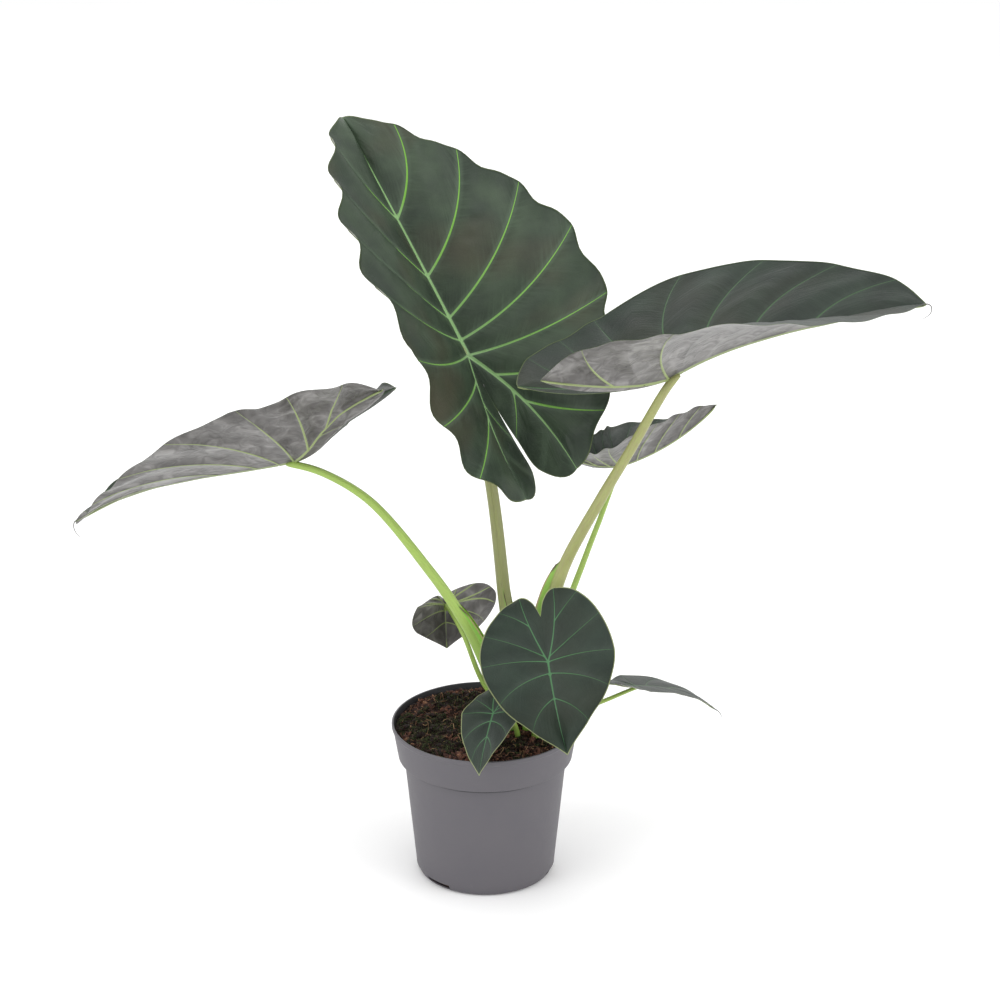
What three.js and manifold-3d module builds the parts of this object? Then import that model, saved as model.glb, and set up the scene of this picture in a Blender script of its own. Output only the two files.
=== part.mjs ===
// Potted regal shields alocasia: eight leaves on sheathed petioles in a grey nursery pot.
// Millimetres, +Z up, origin at the middle of the pot's base, the viewer on the -Y side.
// Every face is open to view and nothing here moves.
import * as THREE from 'three';
import { mergeVertices } from 'three/addons/utils/BufferGeometryUtils.js';
import Module from 'manifold-3d';

const manifold = await Module();
manifold.setup();

// Sizes of the pot and the soil
const POT = {
  height: 164, rimRadius: 95, lip: 2, bandFoot: 88.5, bandTop: 128, shoulder: 82, shoulderTop: 120,
  footRadius: 71, baseRadius: 68, footRound: 7, wall: 2, base: 2.4, facets: 48,
};
const SLOT = { azimuths: [-134.5, -14.5, 105.5], span: 25, low: 3, high: 7.5, inner: 62, outer: 76 };
const SOIL = { level: 156, lump: 2.2, rings: 7, facets: 36, gap: 0.35 };

// The plant: where it stands in the soil and how its bases ring the shoot
const CLUSTER = { x: 45, y: -11, ring: 22, depth: 128, shootRadius: 8, shootTop: 196 };
const CLEAR = 0.35;
const BLADE = { cells: 5, smallCells: 3, parts: 3, edge: 1.2, midrib: 2.6, vein: 1.1 };

// Outline of one half blade, tip to sinus, where each side vein ends. Each row: the rib it
// starts on, how far along that rib, the margin point in lengths and half widths, its bow.
const ADULT = {
  lobe: [-0.56, 0.27], bow: 0.065, root: 5, end: 8,
  rows: [
    [1.00, 1.00, 0.00, 0.00], [0.56, 0.90, 0.29, 0.11], [0.32, 0.71, 0.58, 0.10],
    [0.15, 0.49, 0.84, 0.08], [0.06, 0.25, 1.01, 0.08], [0.00, -0.04, 1.01, 0.05],
    [0.20, -0.26, 0.86, 0.04], [0.45, -0.45, 0.65, 0.03], [1.00, -0.56, 0.27, 0.00],
    [0.65, -0.46, 0.08, 0.05], [0.35, -0.31, 0.04, 0.05], [0.00, -0.10, 0.00, 0.00],
  ],
};
const YOUNG = {
  lobe: [-0.66, 0.27], bow: 0.042, root: 3, end: 6,
  rows: [
    [1.00, 1.00, 0.00, 0.00], [0.38, 0.77, 0.52, 0.09], [0.12, 0.43, 0.91, 0.08],
    [0.00, 0.01, 1.03, 0.04], [0.07, -0.33, 0.89, 0.01], [0.54, -0.57, 0.62, 0.02],
    [1.00, -0.66, 0.27, 0.00], [0.54, -0.58, 0.09, 0.04], [0.00, -0.43, 0.00, 0.00],
  ],
};

// Each leaf. attach is where the petiole meets the blade; heading and rise aim the midrib and
// roll turns the blade about it. fold lifts each half, curl adds to it toward the margin, and
// tip and back change it toward the tip and the lobes. droop, hook and lobeDroop bend the
// blade down along its length and crook just ahead of and behind the petiole, twist and
// lobeTwist wring it, side and lobeSide bend it in plan. scallop draws each half's margin in
// between the veins, blunt rounds the tip and inner is how much of the lobe's inner side it has.
const LEAVES = [
  {
    name: 'crown', outline: ADULT, length: 281, width: 151, lobe: 1.02, attach: [-17, 70, 532],
    heading: 134, rise: 50, roll: -27, fold: [60, 20], curl: [0, -2], tip: [-13, -21], back: [-1, 7],
    droop: 6, hook: 1, lobeDroop: -4, crook: [0, 0], twist: 0, lobeTwist: -17, side: 0, lobeSide: -6,
    scallop: [0.04, 0.06], blunt: 1, inner: 1.2, puff: 4, ruffle: 5,
    petiole: [8.2, 5.2], azimuth: 105, sheath: [0.5, 300],
    route: [[27, 14, 236], [20, 24, 287], [7, 52, 395]],
  },
  {
    name: 'right', outline: ADULT, length: 257, width: 140, lobe: 1, attach: [174, -78, 559],
    heading: 21.6, rise: 25.3, roll: -8.7, fold: [17, 43], curl: [1, -20], tip: [-5, -13], back: [6, 13],
    droop: 13, hook: -6, lobeDroop: -29, crook: [7, -6], twist: 9, lobeTwist: 0, side: -30, lobeSide: -2,
    scallop: [0.01, 0], blunt: 0, inner: 0.35, puff: 2.5, ruffle: 1.2,
    petiole: [8.6, 4.2], azimuth: -30, sheath: [1.6, 345],
    route: [[67, -12, 292], [77, -16, 337], [112, -44, 422], [140, -62, 481]],
  },
  {
    name: 'left', outline: ADULT, length: 284, width: 116, lobe: 0.76, attach: [-187, 0, 446],
    heading: 158, rise: -18, roll: 32, fold: [7, 35], curl: [10, 0], tip: [-26, 0], back: [-6, 0],
    droop: 13, hook: 9, lobeDroop: 23, crook: [-7, -42], twist: -17, lobeTwist: -2, side: -10, lobeSide: -12,
    scallop: [0.06, 0.02], blunt: 0, inner: 1, puff: 3, ruffle: 3,
    petiole: [8, 3.4], azimuth: 185, sheath: [0.9, 300],
    route: [[-7, -16, 254], [-30, -18, 299], [-55, -17, 337], [-113, -8, 407], [-158, -2, 434]],
  },
  {
    name: 'back', outline: ADULT, length: 117, width: 67, lobe: 0.81, attach: [137, 90, 407],
    heading: 2, rise: 18, roll: -14, fold: [32, 30], curl: [-2, -11], tip: [-8, 1], back: [6, 0],
    droop: -30, hook: 1, lobeDroop: -44, crook: [0, 0], twist: -11, lobeTwist: 2, side: 2, lobeSide: 18,
    scallop: [0.02, 0.02], blunt: 0, inner: 1, puff: 1.5, ruffle: 1.5,
    petiole: [4.6, 2.4], azimuth: 50, sheath: [0.5, 250],
    route: [[82, 25, 276], [99, 45, 319], [114, 64, 353]],
  },
  {
    name: 'curled', outline: YOUNG, length: 44, width: 60, lobe: 0.4, attach: [-42, 58, 266],
    heading: 100, rise: -114, roll: 4, fold: [-70, -20], curl: [20, -30], tip: [0, -3], back: [2, 17],
    droop: 2, hook: 16, lobeDroop: -5, crook: [0, 0], twist: 30, lobeTwist: -2, side: 1, lobeSide: 15,
    scallop: [0, 0], blunt: 0, inner: 1, puff: 0.6, ruffle: 0,
    petiole: [3.2, 2], azimuth: 145, sheath: [0.3, 200],
    route: [[-2, 16, 199], [-23, 22, 252]],
  },
  {
    name: 'heart', outline: YOUNG, length: 98, width: 66, lobe: 1.15, attach: [62, -84, 268],
    heading: -78, rise: -50, roll: 7, fold: [19, 9], curl: [-1, 0], tip: [29, 31], back: [-5, -22],
    droop: -6, hook: -12, lobeDroop: 11, crook: [0, 0], twist: 0, lobeTwist: 2, side: 6, lobeSide: -2,
    scallop: [0, 0], blunt: 0, inner: 1, puff: 1.2, ruffle: 0.6,
    petiole: [4.4, 2.8], azimuth: -75, sheath: [0.4, 210],
    route: [[53, -42, 215], [58, -62, 255]],
  },
  {
    name: 'low', outline: YOUNG, length: 65, width: 36, lobe: 0.97, attach: [8, -78, 209],
    heading: -110, rise: -38, roll: 15, fold: [11, -3], curl: [-5, 3], tip: [6, -5], back: [0, -9],
    droop: 16, hook: 1, lobeDroop: 17, crook: [0, 0], twist: 25, lobeTwist: 3, side: -1, lobeSide: 0,
    scallop: [0, 0], blunt: 0, inner: 1, puff: 0.8, ruffle: 0.4,
    petiole: [3.2, 2], azimuth: -125, sheath: [0.3, 185],
    route: [[23, -44, 192], [13, -62, 207]],
  },
  {
    name: 'side', outline: YOUNG, length: 96, width: 35, lobe: 0.45, attach: [152, -10, 208],
    heading: 23, rise: -8, roll: -16, fold: [10, -4], curl: [1, 2], tip: [0, -3], back: [-7, 3],
    droop: 31, hook: 7, lobeDroop: -11, crook: [0, 0], twist: 2, lobeTwist: -5, side: -2, lobeSide: 2,
    scallop: [0, 0], blunt: 0, inner: 1, puff: 0.8, ruffle: 0.4,
    petiole: [2.8, 1.7], azimuth: 8, sheath: [0.3, 175],
    route: [[86, -10, 177], [118, -10, 190]],
  },
];

// Colours and finishes
const COLOURS = { pot: 0x6f6d72, soil: 0x4a2f24, blade: 0x3c4a42, petiole: 0xa3b86a, shoot: 0x8fae55 };
const FINISH = {
  pot: { roughness: 0.6, metalness: 0 }, soil: { roughness: 0.95, metalness: 0 },
  blade: { roughness: 0.45, metalness: 0 }, petiole: { roughness: 0.5, metalness: 0 },
  shoot: { roughness: 0.5, metalness: 0 },
};

const rad = THREE.MathUtils.degToRad;
const clamp = THREE.MathUtils.clamp;
const GAUSS = [[0.5, 0.2844444], [0.2307653, 0.2393143], [0.7692347, 0.2393143],
  [0.0469101, 0.1184634], [0.9530899, 0.1184634]];
const average = (f) => GAUSS.reduce((sum, [x, weight]) => sum + weight * f(x), 0);

const plant = new THREE.Group();
plant.name = 'potted_alocasia';

/** Add a closed geometry to the plant as a named mesh. */
function addPiece(name, geometry, kind) {
  const material = new THREE.MeshStandardMaterial({ color: COLOURS[kind], ...FINISH[kind] });
  const mesh = new THREE.Mesh(geometry, material);
  mesh.name = name;
  plant.add(mesh);
}

/** Geometry from flat lists of positions and triangle indices. */
function geometryFrom(positions, triangles) {
  const geometry = new THREE.BufferGeometry();
  geometry.setAttribute('position', new THREE.Float32BufferAttribute(positions, 3));
  geometry.setIndex(triangles);
  return geometry;
}

/** Manifold solid of a closed geometry. */
function toSolid(geometry) {
  const bare = geometry.clone();
  bare.deleteAttribute('normal');
  bare.deleteAttribute('uv');
  const merged = mergeVertices(bare, 1e-4);
  const vertProperties = new Float32Array(merged.attributes.position.array);
  const triVerts = new Uint32Array(merged.index.array);
  return new manifold.Manifold(new manifold.Mesh({ numProp: 3, vertProperties, triVerts }));
}

/** Geometry of a manifold solid. */
function fromSolid(solid) {
  const mesh = solid.getMesh();
  return geometryFrom(Array.from(mesh.vertProperties), Array.from(mesh.triVerts));
}

/** Turn a lathe profile about the upright axis. */
function turn(profile, facets) {
  const points = profile.map(([radius, height]) => new THREE.Vector2(radius, height));
  return new THREE.LatheGeometry(points, facets).rotateX(Math.PI / 2);
}

// Pot: a stepped shell with three drain slots through the foot
const potInside = [
  [POT.baseRadius - POT.wall, POT.base], [POT.footRadius - POT.wall, POT.footRound + 1],
  [POT.shoulder - POT.wall, POT.shoulderTop + 1], [POT.bandFoot - POT.wall, POT.bandTop + 1],
  [POT.rimRadius - POT.lip, POT.height],
];
const potProfile = [
  [0, 0], [POT.baseRadius - 3, 0], [POT.baseRadius, 1.5], [POT.footRadius, POT.footRound],
  [POT.shoulder, POT.shoulderTop], [POT.bandFoot, POT.bandTop], [POT.rimRadius - 0.8, POT.height - 5],
  [POT.rimRadius, POT.height - 3], [POT.rimRadius, POT.height], ...[...potInside].reverse(), [0, POT.base],
];
let pot = toSolid(turn(potProfile, POT.facets));
for (const azimuth of SLOT.azimuths) {
  const slot = new THREE.Shape();
  slot.absarc(0, 0, SLOT.outer, rad(azimuth - SLOT.span / 2), rad(azimuth + SLOT.span / 2), false);
  slot.absarc(0, 0, SLOT.inner, rad(azimuth + SLOT.span / 2), rad(azimuth - SLOT.span / 2), true);
  const cutter = new THREE.ExtrudeGeometry(slot, {
    depth: SLOT.high - SLOT.low, bevelEnabled: false, curveSegments: 6,
  }).translate(0, 0, SLOT.low);
  pot = pot.subtract(toSolid(cutter));
}
addPiece('pot', fromSolid(pot), 'pot');

/** Radius of the pot's inner wall at a height. */
function insideRadius(height) {
  for (let i = 1; i < potInside.length; i += 1) {
    const [r0, z0] = potInside[i - 1];
    const [r1, z1] = potInside[i];
    if (height <= z1) return r0 + ((r1 - r0) * (height - z0)) / (z1 - z0);
  }
  return potInside.at(-1)[0];
}

/** Height of the lumpy soil at a place. */
function soilHeight(x, y) {
  const lumps = Math.sin(x * 0.19 + 1.3) * Math.cos(y * 0.23 - 0.4) + 0.6 * Math.sin(x * 0.41 - y * 0.37)
    + 0.5 * Math.cos(x * 0.11 + y * 0.53 + 2.1);
  const toRim = clamp((Math.hypot(x, y) - 78) / 14, 0, 1);
  return SOIL.level + SOIL.lump * lumps * (1 - 0.6 * toRim) - 3 * toRim;
}

/** Soil: a plug that follows the pot's inside, with a lumpy top. */
function soilGeometry() {
  const positions = [0, 0, POT.base + SOIL.gap];
  const triangles = [];
  const addRing = (radius, heightAt) => {
    const start = positions.length / 3;
    for (let k = 0; k < SOIL.facets; k += 1) {
      const angle = (2 * Math.PI * k) / SOIL.facets;
      const [x, y] = [radius * Math.cos(angle), radius * Math.sin(angle)];
      positions.push(x, y, heightAt(x, y));
    }
    return start;
  };
  const rings = potInside.slice(0, 4).map(([radius, height]) => addRing(
    insideRadius(height) - SOIL.gap - 0.35, () => height + (height === POT.base ? SOIL.gap : 0)));
  const rim = insideRadius(SOIL.level - 3) - SOIL.gap - 0.6;
  for (let k = 0; k < SOIL.rings; k += 1) rings.push(addRing(rim * (1 - k / SOIL.rings), soilHeight));
  for (let k = 0; k < SOIL.facets; k += 1) {
    const next = (k + 1) % SOIL.facets;
    triangles.push(0, rings[0] + next, rings[0] + k);
    for (let r = 1; r < rings.length; r += 1) {
      const [low, high] = [rings[r - 1], rings[r]];
      triangles.push(low + k, low + next, high + next, low + k, high + next, high + k);
    }
  }
  const top = positions.length / 3;
  positions.push(0, 0, soilHeight(0, 0));
  const last = rings.at(-1);
  for (let k = 0; k < SOIL.facets; k += 1) triangles.push(last + k, last + ((k + 1) % SOIL.facets), top);
  return geometryFrom(positions, triangles);
}

/** Point of a Catmull-Rom run through the outline's margin points, its tip pointed or blunt. */
function marginPoint(points, u, blunt) {
  const i = clamp(Math.floor(u), 0, points.length - 2);
  const f = u - i;
  const beyond = [0, 1].map((k) => points[0][k] + blunt * ([1, -1][k] * points[1][k] - points[0][k]));
  const at = (k) => (k < 0 ? beyond : points[Math.min(k, points.length - 1)]);
  const [p0, p1, p2, p3] = [at(i - 1), at(i), at(i + 1), at(i + 2)];
  return [0, 1].map((k) => {
    const [m1, m2] = [(p2[k] - p0[k]) / 2, (p3[k] - p1[k]) / 2];
    return (2 * f ** 3 - 3 * f ** 2 + 1) * p1[k] + (f ** 3 - 2 * f ** 2 + f) * m1
      + (3 * f ** 2 - 2 * f ** 3) * p2[k] + (f ** 3 - f ** 2) * m2;
  });
}

/** How far along its rib the vein at row value u starts. */
function ribFraction({ rows }, u) {
  const i = clamp(Math.floor(u), 0, rows.length - 2);
  return rows[i][0] + (rows[i + 1][0] - rows[i][0]) * (u - i);
}

/** Flat half-blade point at row value u, v of the way from rib to margin. */
function flatPoint(leaf, u, v, side) {
  const { outline, length, width, lobe } = leaf;
  const { rows, root, end } = outline;
  const s = ribFraction(outline, u);
  let start = [s * length, 0];
  if (u >= root) {
    const tip = [outline.lobe[0] * length * lobe, outline.lobe[1] * width];
    const bend = [tip[0] / 2 + 2 * outline.bow * tip[1], tip[1] / 2 - 2 * outline.bow * tip[0]];
    start = [0, 1].map((k) => 2 * s * (1 - s) * bend[k] + s * s * tip[k]);
  }
  const margin = rows.map(([, x, y]) => [x * length * (x < 0 ? lobe : 1), y * width]);
  let edge = marginPoint(margin, u, leaf.blunt);
  const i = clamp(Math.floor(u), 0, rows.length - 2);
  const f = u - i;
  if (u < end) {
    const notch = (0.5 - 0.5 * Math.cos(2 * Math.PI * (u + 0.15))) ** 1.8
      * clamp(u, 0, 1) * clamp((end - u) / 4, 0, 1);
    const shrink = 1 - (leaf.scallop[side > 0 ? 0 : 1] * width * notch) / Math.max(Math.hypot(...edge), 1);
    edge = edge.map((value) => value * shrink);
  } else edge = edge.map((value, k) => start[k] + leaf.inner * (value - start[k]));
  const bow = rows[i][3] * (1 - f) + rows[i + 1][3] * f;
  const span = [edge[0] - start[0], edge[1] - start[1]];
  const lean = bow * 4 * v * (1 - v);
  return [
    start[0] + span[0] * v - Math.abs(span[1]) * lean,
    start[1] + span[1] * v + Math.sign(span[1] + 1e-9) * span[0] * lean,
  ];
}

/** Lift of the blade out of its plane: puffed between veins, waved at the margin. */
function bladeLift(leaf, u, v) {
  if (u >= leaf.outline.end) return 0;
  const f = u - Math.floor(u);
  return leaf.puff * 4 * f * (1 - f) * Math.sin(Math.PI * Math.min(v * 1.1, 1))
    + leaf.ruffle * Math.sin(2 * Math.PI * f) * v ** 3 * clamp(u, 0, 1);
}

/** Bend a flat blade point into its place in the plant. */
function placePoint(leaf, [x, y], side, lift) {
  const { length, width } = leaf;
  const half = side > 0 ? 0 : 1;
  const lobeLength = length * 0.54 * leaf.lobe;
  const toTip = clamp(x / length, 0, 1);
  const toLobe = clamp(-x / lobeLength, 0, 1.2);
  const fold = leaf.fold[half] + leaf.tip[half] * toTip + leaf.back[half] * toLobe;
  const angle = (g) => rad(fold + (leaf.curl[half] * y * g) / width);
  let across = side * (average((g) => Math.cos(angle(g))) * y - lift * Math.sin(angle(1)));
  let up = average((g) => Math.sin(angle(g))) * y + lift * Math.cos(angle(1));
  const wring = rad(x >= 0 ? leaf.twist * toTip : leaf.lobeTwist * toLobe);
  [across, up] = [across * Math.cos(wring) - up * Math.sin(wring), across * Math.sin(wring) + up * Math.cos(wring)];
  const bend = (d) => (x >= 0
    ? rad(leaf.droop * (d / length) + (leaf.hook * clamp(d / length - 0.6, 0, 1)) / 0.4
      + leaf.crook[0] * clamp(d / length / 0.3, 0, 1))
    : rad((leaf.lobeDroop * d) / lobeLength + leaf.crook[1] * clamp(d / lobeLength / 0.3, -1, 0)));
  const along = x * average((g) => Math.cos(bend(x * g))) + up * Math.sin(bend(x));
  const height = -x * average((g) => Math.sin(bend(x * g))) + up * Math.cos(bend(x));
  const turnAt = along >= 0 ? (rad(leaf.side) * along) / length : (rad(leaf.lobeSide) * along) / lobeLength;
  const sinc = (a) => (Math.abs(a) < 1e-6 ? 1 : Math.sin(a) / a);
  const forward = along * sinc(turnAt) - across * Math.sin(turnAt);
  const left = (along * turnAt * sinc(turnAt / 2) ** 2) / 2 + across * Math.cos(turnAt);
  const { midrib, leftward, upward } = bladeAxes(leaf);
  return new THREE.Vector3(...leaf.attach).addScaledVector(midrib, forward)
    .addScaledVector(leftward, left).addScaledVector(upward, height);
}

/** Directions of the midrib, the blade's left and its upper face where the petiole joins. */
function bladeAxes(leaf) {
  const [h, r, roll] = [leaf.heading, leaf.rise, leaf.roll].map(rad);
  const midrib = new THREE.Vector3(Math.cos(r) * Math.cos(h), Math.cos(r) * Math.sin(h), Math.sin(r));
  const flatUp = new THREE.Vector3(-Math.sin(r) * Math.cos(h), -Math.sin(r) * Math.sin(h), Math.cos(r));
  const flatLeft = new THREE.Vector3().crossVectors(flatUp, midrib);
  const leftward = flatLeft.clone().multiplyScalar(Math.cos(roll)).addScaledVector(flatUp, Math.sin(roll));
  const upward = flatUp.multiplyScalar(Math.cos(roll)).addScaledVector(flatLeft, -Math.sin(roll));
  return { midrib, leftward, upward };
}

/** Upward direction between the two halves where the petiole joins. */
function keelUp(leaf) {
  const { midrib } = bladeAxes(leaf);
  const origin = new THREE.Vector3(...leaf.attach);
  const [left, right] = [1, -1].map((side) => placePoint(leaf, [0, 1], side, 0).sub(origin));
  return left.clone().cross(midrib).negate().add(right.clone().cross(midrib)).normalize();
}

/** Row values from tip to lobe end, then back along the inner side of the lobe. */
function bladeRows({ rows, root, end }) {
  const outer = Array.from({ length: end * BLADE.parts + 1 }, (_, k) => k / BLADE.parts);
  const inner = outer.filter((u) => u >= root && u < end).reverse().map((u) => {
    const s = ribFraction({ rows }, u);
    let i = end;
    while (rows[i + 1][0] > s) i += 1;
    return i + (rows[i][0] - s) / (rows[i][0] - rows[i + 1][0]);
  });
  return [...outer, ...inner];
}

/** Blade: both faces share one grid; the under face is set off by the blade's thickness. */
function bladeGeometry(leaf) {
  const cells = leaf.outline === ADULT ? BLADE.cells : BLADE.smallCells;
  const rows = bladeRows(leaf.outline);
  const { end } = leaf.outline;
  const slim = leaf.petiole[1] / LEAVES[0].petiole[1];
  const keys = new Map();
  const points = [];
  const thickness = [];
  const grids = [1, -1].map((side) => rows.map((u) => Array.from({ length: cells + 1 }, (_, j) => {
    const v = j / cells;
    const point = placePoint(leaf, flatPoint(leaf, u, v, side), side, bladeLift(leaf, u, v));
    const key = point.toArray().map((value) => Math.round(value * 1e3)).join();
    const onVein = u < end && Math.abs(u - Math.round(u)) < 1e-6;
    const rib = j === 0 ? BLADE.midrib * slim * (1 - 0.8 * ribFraction(leaf.outline, u)) : 0;
    const ridge = onVein && j > 0 && j < cells ? BLADE.vein * slim * (1 - v) : 0;
    const value = BLADE.edge * (0.6 + 0.4 * slim) + Math.max(rib, ridge);
    if (!keys.has(key)) {
      keys.set(key, points.length);
      points.push(point);
      thickness.push(value);
    }
    return keys.get(key);
  })));
  const top = [];
  const walls = [];
  grids.forEach((grid, g) => {
    const push = (list, a, b, c) => {
      if (a !== b && b !== c && a !== c) list.push(...(g === 0 ? [a, b, c] : [a, c, b]));
    };
    for (let i = 0; i + 1 < grid.length; i += 1) {
      for (let j = 0; j < cells; j += 1) {
        const [a, b, c, d] = [grid[i][j], grid[i][j + 1], grid[i + 1][j + 1], grid[i + 1][j]];
        push(top, a, b, c);
        push(top, a, c, d);
      }
      const [a, b] = [grid[i][cells], grid[i + 1][cells]];
      const under = points.length;
      push(walls, b, a, a + under);
      push(walls, b, a + under, b + under);
    }
  });
  const normals = points.map(() => new THREE.Vector3());
  for (let t = 0; t < top.length; t += 3) {
    const [a, b, c] = top.slice(t, t + 3);
    const face = new THREE.Vector3().subVectors(points[b], points[a])
      .cross(new THREE.Vector3().subVectors(points[c], points[a]));
    [a, b, c].forEach((k) => normals[k].add(face));
  }
  const positions = points.flatMap((point) => point.toArray());
  points.forEach((point, k) => {
    positions.push(...point.clone().addScaledVector(normals[k].normalize(), -thickness[k]).toArray());
  });
  const triangles = [...top];
  for (let t = 0; t < top.length; t += 3) {
    triangles.push(top[t] + points.length, top[t + 2] + points.length, top[t + 1] + points.length);
  }
  return geometryFrom(positions, [...triangles, ...walls]);
}

/** Course of a petiole from its buried foot to the blade's underside. */
function petiolePath(leaf) {
  const azimuth = rad(leaf.azimuth);
  const foot = [CLUSTER.x + CLUSTER.ring * Math.cos(azimuth), CLUSTER.y + CLUSTER.ring * Math.sin(azimuth)];
  const upward = keelUp(leaf);
  const slim = leaf.petiole[1] / LEAVES[0].petiole[1];
  const pinch = 1.1 * leaf.petiole[1] * Math.max(0, -Math.sin(rad((leaf.fold[0] + leaf.fold[1]) / 2)));
  const join = new THREE.Vector3(...leaf.attach);
  const tilt = Math.sin(join.clone().sub(new THREE.Vector3(...leaf.route.at(-1))).angleTo(upward));
  const depth = BLADE.edge * (0.6 + 0.4 * slim) + BLADE.midrib * slim + 2 * CLEAR + pinch
    + 0.76 * tilt * leaf.petiole[1];
  const end = join.clone().addScaledVector(upward, -depth);
  return new THREE.CatmullRomCurve3([
    new THREE.Vector3(foot[0], foot[1], CLUSTER.depth), new THREE.Vector3(foot[0], foot[1], CLUSTER.depth + 36),
    ...leaf.route.map((point) => new THREE.Vector3(...point)), end,
  ], false, 'centripetal');
}

/** Petiole: a tapered stem whose upper side carries the two wings of its sheath. */
function petioleGeometry(leaf, { grow = 0, top = Infinity } = {}) {
  const path = petiolePath(leaf);
  const steps = leaf.outline === ADULT ? 22 : 14;
  const sides = leaf.outline === ADULT ? 12 : 8;
  const start = path.getPointAt(0);
  const away = new THREE.Vector3(leaf.attach[0] - start.x, leaf.attach[1] - start.y, 0).normalize();
  const [wing, sheathTop] = leaf.sheath;
  const positions = [];
  const triangles = [];
  let count = 0;
  for (let k = 0; k <= steps; k += 1) {
    const t = k / steps;
    const centre = path.getPointAt(t);
    const tangent = path.getTangentAt(t);
    const inner = new THREE.Vector3(0, 0, 1).sub(away);
    inner.addScaledVector(tangent, -inner.dot(tangent)).normalize();
    const sideways = new THREE.Vector3().crossVectors(tangent, inner);
    const radius = THREE.MathUtils.lerp(leaf.petiole[0], leaf.petiole[1], t ** 0.8) + grow;
    const rise = clamp((centre.z - SOIL.level - 8) / 60, 0, 1);
    const fade = clamp((sheathTop - centre.z) / 60, 0, 1) ** 0.7;
    if (k === 0) centre.z -= grow;
    for (let n = 0; n < sides; n += 1) {
      const angle = (2 * Math.PI * n) / sides;
      const bump = n === 1 || n === sides - 1 ? wing * rise * fade : 0;
      const reach = radius * (1 + bump);
      const point = centre.clone().addScaledVector(inner, reach * Math.cos(angle))
        .addScaledVector(sideways, reach * Math.sin(angle));
      positions.push(...point.toArray());
    }
    count += 1;
    if (centre.z > top) break;
  }
  for (let k = 0; k + 1 < count; k += 1) {
    for (let n = 0; n < sides; n += 1) {
      const next = (n + 1) % sides;
      const [a, b, c, d] = [k * sides + n, k * sides + next, (k + 1) * sides + next, (k + 1) * sides + n];
      triangles.push(a, b, c, a, c, d);
    }
  }
  const last = (count - 1) * sides;
  for (let n = 1; n + 1 < sides; n += 1) triangles.push(0, n + 1, n, last, last + n, last + n + 1);
  return geometryFrom(positions, triangles);
}

// Leaves
for (const leaf of LEAVES) {
  addPiece(`petiole_${leaf.name}`, petioleGeometry(leaf), 'petiole');
  addPiece(`blade_${leaf.name}`, bladeGeometry(leaf), 'blade');
}

// Shoot: the pointed new growth in the middle of the petioles
const shootProfile = [
  [0, CLUSTER.depth], [CLUSTER.shootRadius, CLUSTER.depth], [CLUSTER.shootRadius, SOIL.level],
  [CLUSTER.shootRadius * 0.7, CLUSTER.shootTop - 14], [CLUSTER.shootRadius * 0.3, CLUSTER.shootTop - 3],
  [0, CLUSTER.shootTop],
];
const shoot = turn(shootProfile, 12).translate(CLUSTER.x, CLUSTER.y, 0);
addPiece('shoot', fromSolid(toSolid(shoot)), 'shoot');

// Soil, with a plain hole for each petiole and for the shoot
let soil = toSolid(soilGeometry());
for (const leaf of LEAVES) soil = soil.subtract(toSolid(petioleGeometry(leaf, { grow: CLEAR, top: SOIL.level + 12 })));
const shootHole = new THREE.CylinderGeometry(CLUSTER.shootRadius + CLEAR, CLUSTER.shootRadius + CLEAR, 60, 12)
  .rotateX(Math.PI / 2).translate(CLUSTER.x, CLUSTER.y, CLUSTER.depth - CLEAR + 30);
soil = soil.subtract(toSolid(shootHole));
addPiece('soil', fromSolid(soil), 'soil');

export default plant;
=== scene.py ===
"""Potted regal shields alocasia: eight leaves on sheathed petioles in a grey nursery pot.

Shapes are worked out in millimetres with numpy and put into meshes in metres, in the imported
model's own frame: +Z up, origin at the middle of the pot's base, the viewer on the -Y side.
"""

import logging
import math
from collections.abc import Callable
from dataclasses import dataclass, field
from enum import Enum
from functools import partial

import bpy
import numpy as np
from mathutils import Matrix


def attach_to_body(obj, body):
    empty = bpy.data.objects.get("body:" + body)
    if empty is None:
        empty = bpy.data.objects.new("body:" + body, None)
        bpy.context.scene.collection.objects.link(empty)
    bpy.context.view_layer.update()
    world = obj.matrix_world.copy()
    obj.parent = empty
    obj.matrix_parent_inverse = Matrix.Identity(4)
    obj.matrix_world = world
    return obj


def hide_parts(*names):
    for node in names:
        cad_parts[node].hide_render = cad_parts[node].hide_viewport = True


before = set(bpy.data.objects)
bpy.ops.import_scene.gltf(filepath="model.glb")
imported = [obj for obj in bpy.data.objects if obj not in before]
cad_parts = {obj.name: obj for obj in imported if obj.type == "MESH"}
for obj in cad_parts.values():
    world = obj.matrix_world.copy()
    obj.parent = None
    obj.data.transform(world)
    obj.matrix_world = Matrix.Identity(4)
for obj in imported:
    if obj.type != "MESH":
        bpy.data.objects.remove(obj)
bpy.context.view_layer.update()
log = logging.getLogger("potted_alocasia")

MM = 0.001
FULL_STEM = 5.2  # top radius of the crown leaf's stalk, which vein and neck sizes scale from
PLANT_X, PLANT_Y = 45.0, -11.0  # middle of the stalks' feet
STEM_FOOT = 128.0  # height where the stalks start, inside the soil
SOIL_LINE = 156.0  # height where they come out of it
Array = np.ndarray
Row = tuple[float, float, float, float]
Ramp = tuple[tuple[float, str], ...]
Node = bpy.types.Node
# places and weights of Gauss's rule, for means over a run from 0 to 1
GAUSS = ((0.5, 0.2844444), (0.2307653, 0.2393143), (0.7692347, 0.2393143),
         (0.0469101, 0.1184634), (0.9530899, 0.1184634))


class Habit(Enum):
    """Growth stage of a leaf."""

    ADULT = "adult"
    YOUNG = "young"


class Face(Enum):
    """Material slots of a blade."""

    UPPER = 0
    UNDER = 1


# ---------------------------------------------------------------- sizes, in millimetres


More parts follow.
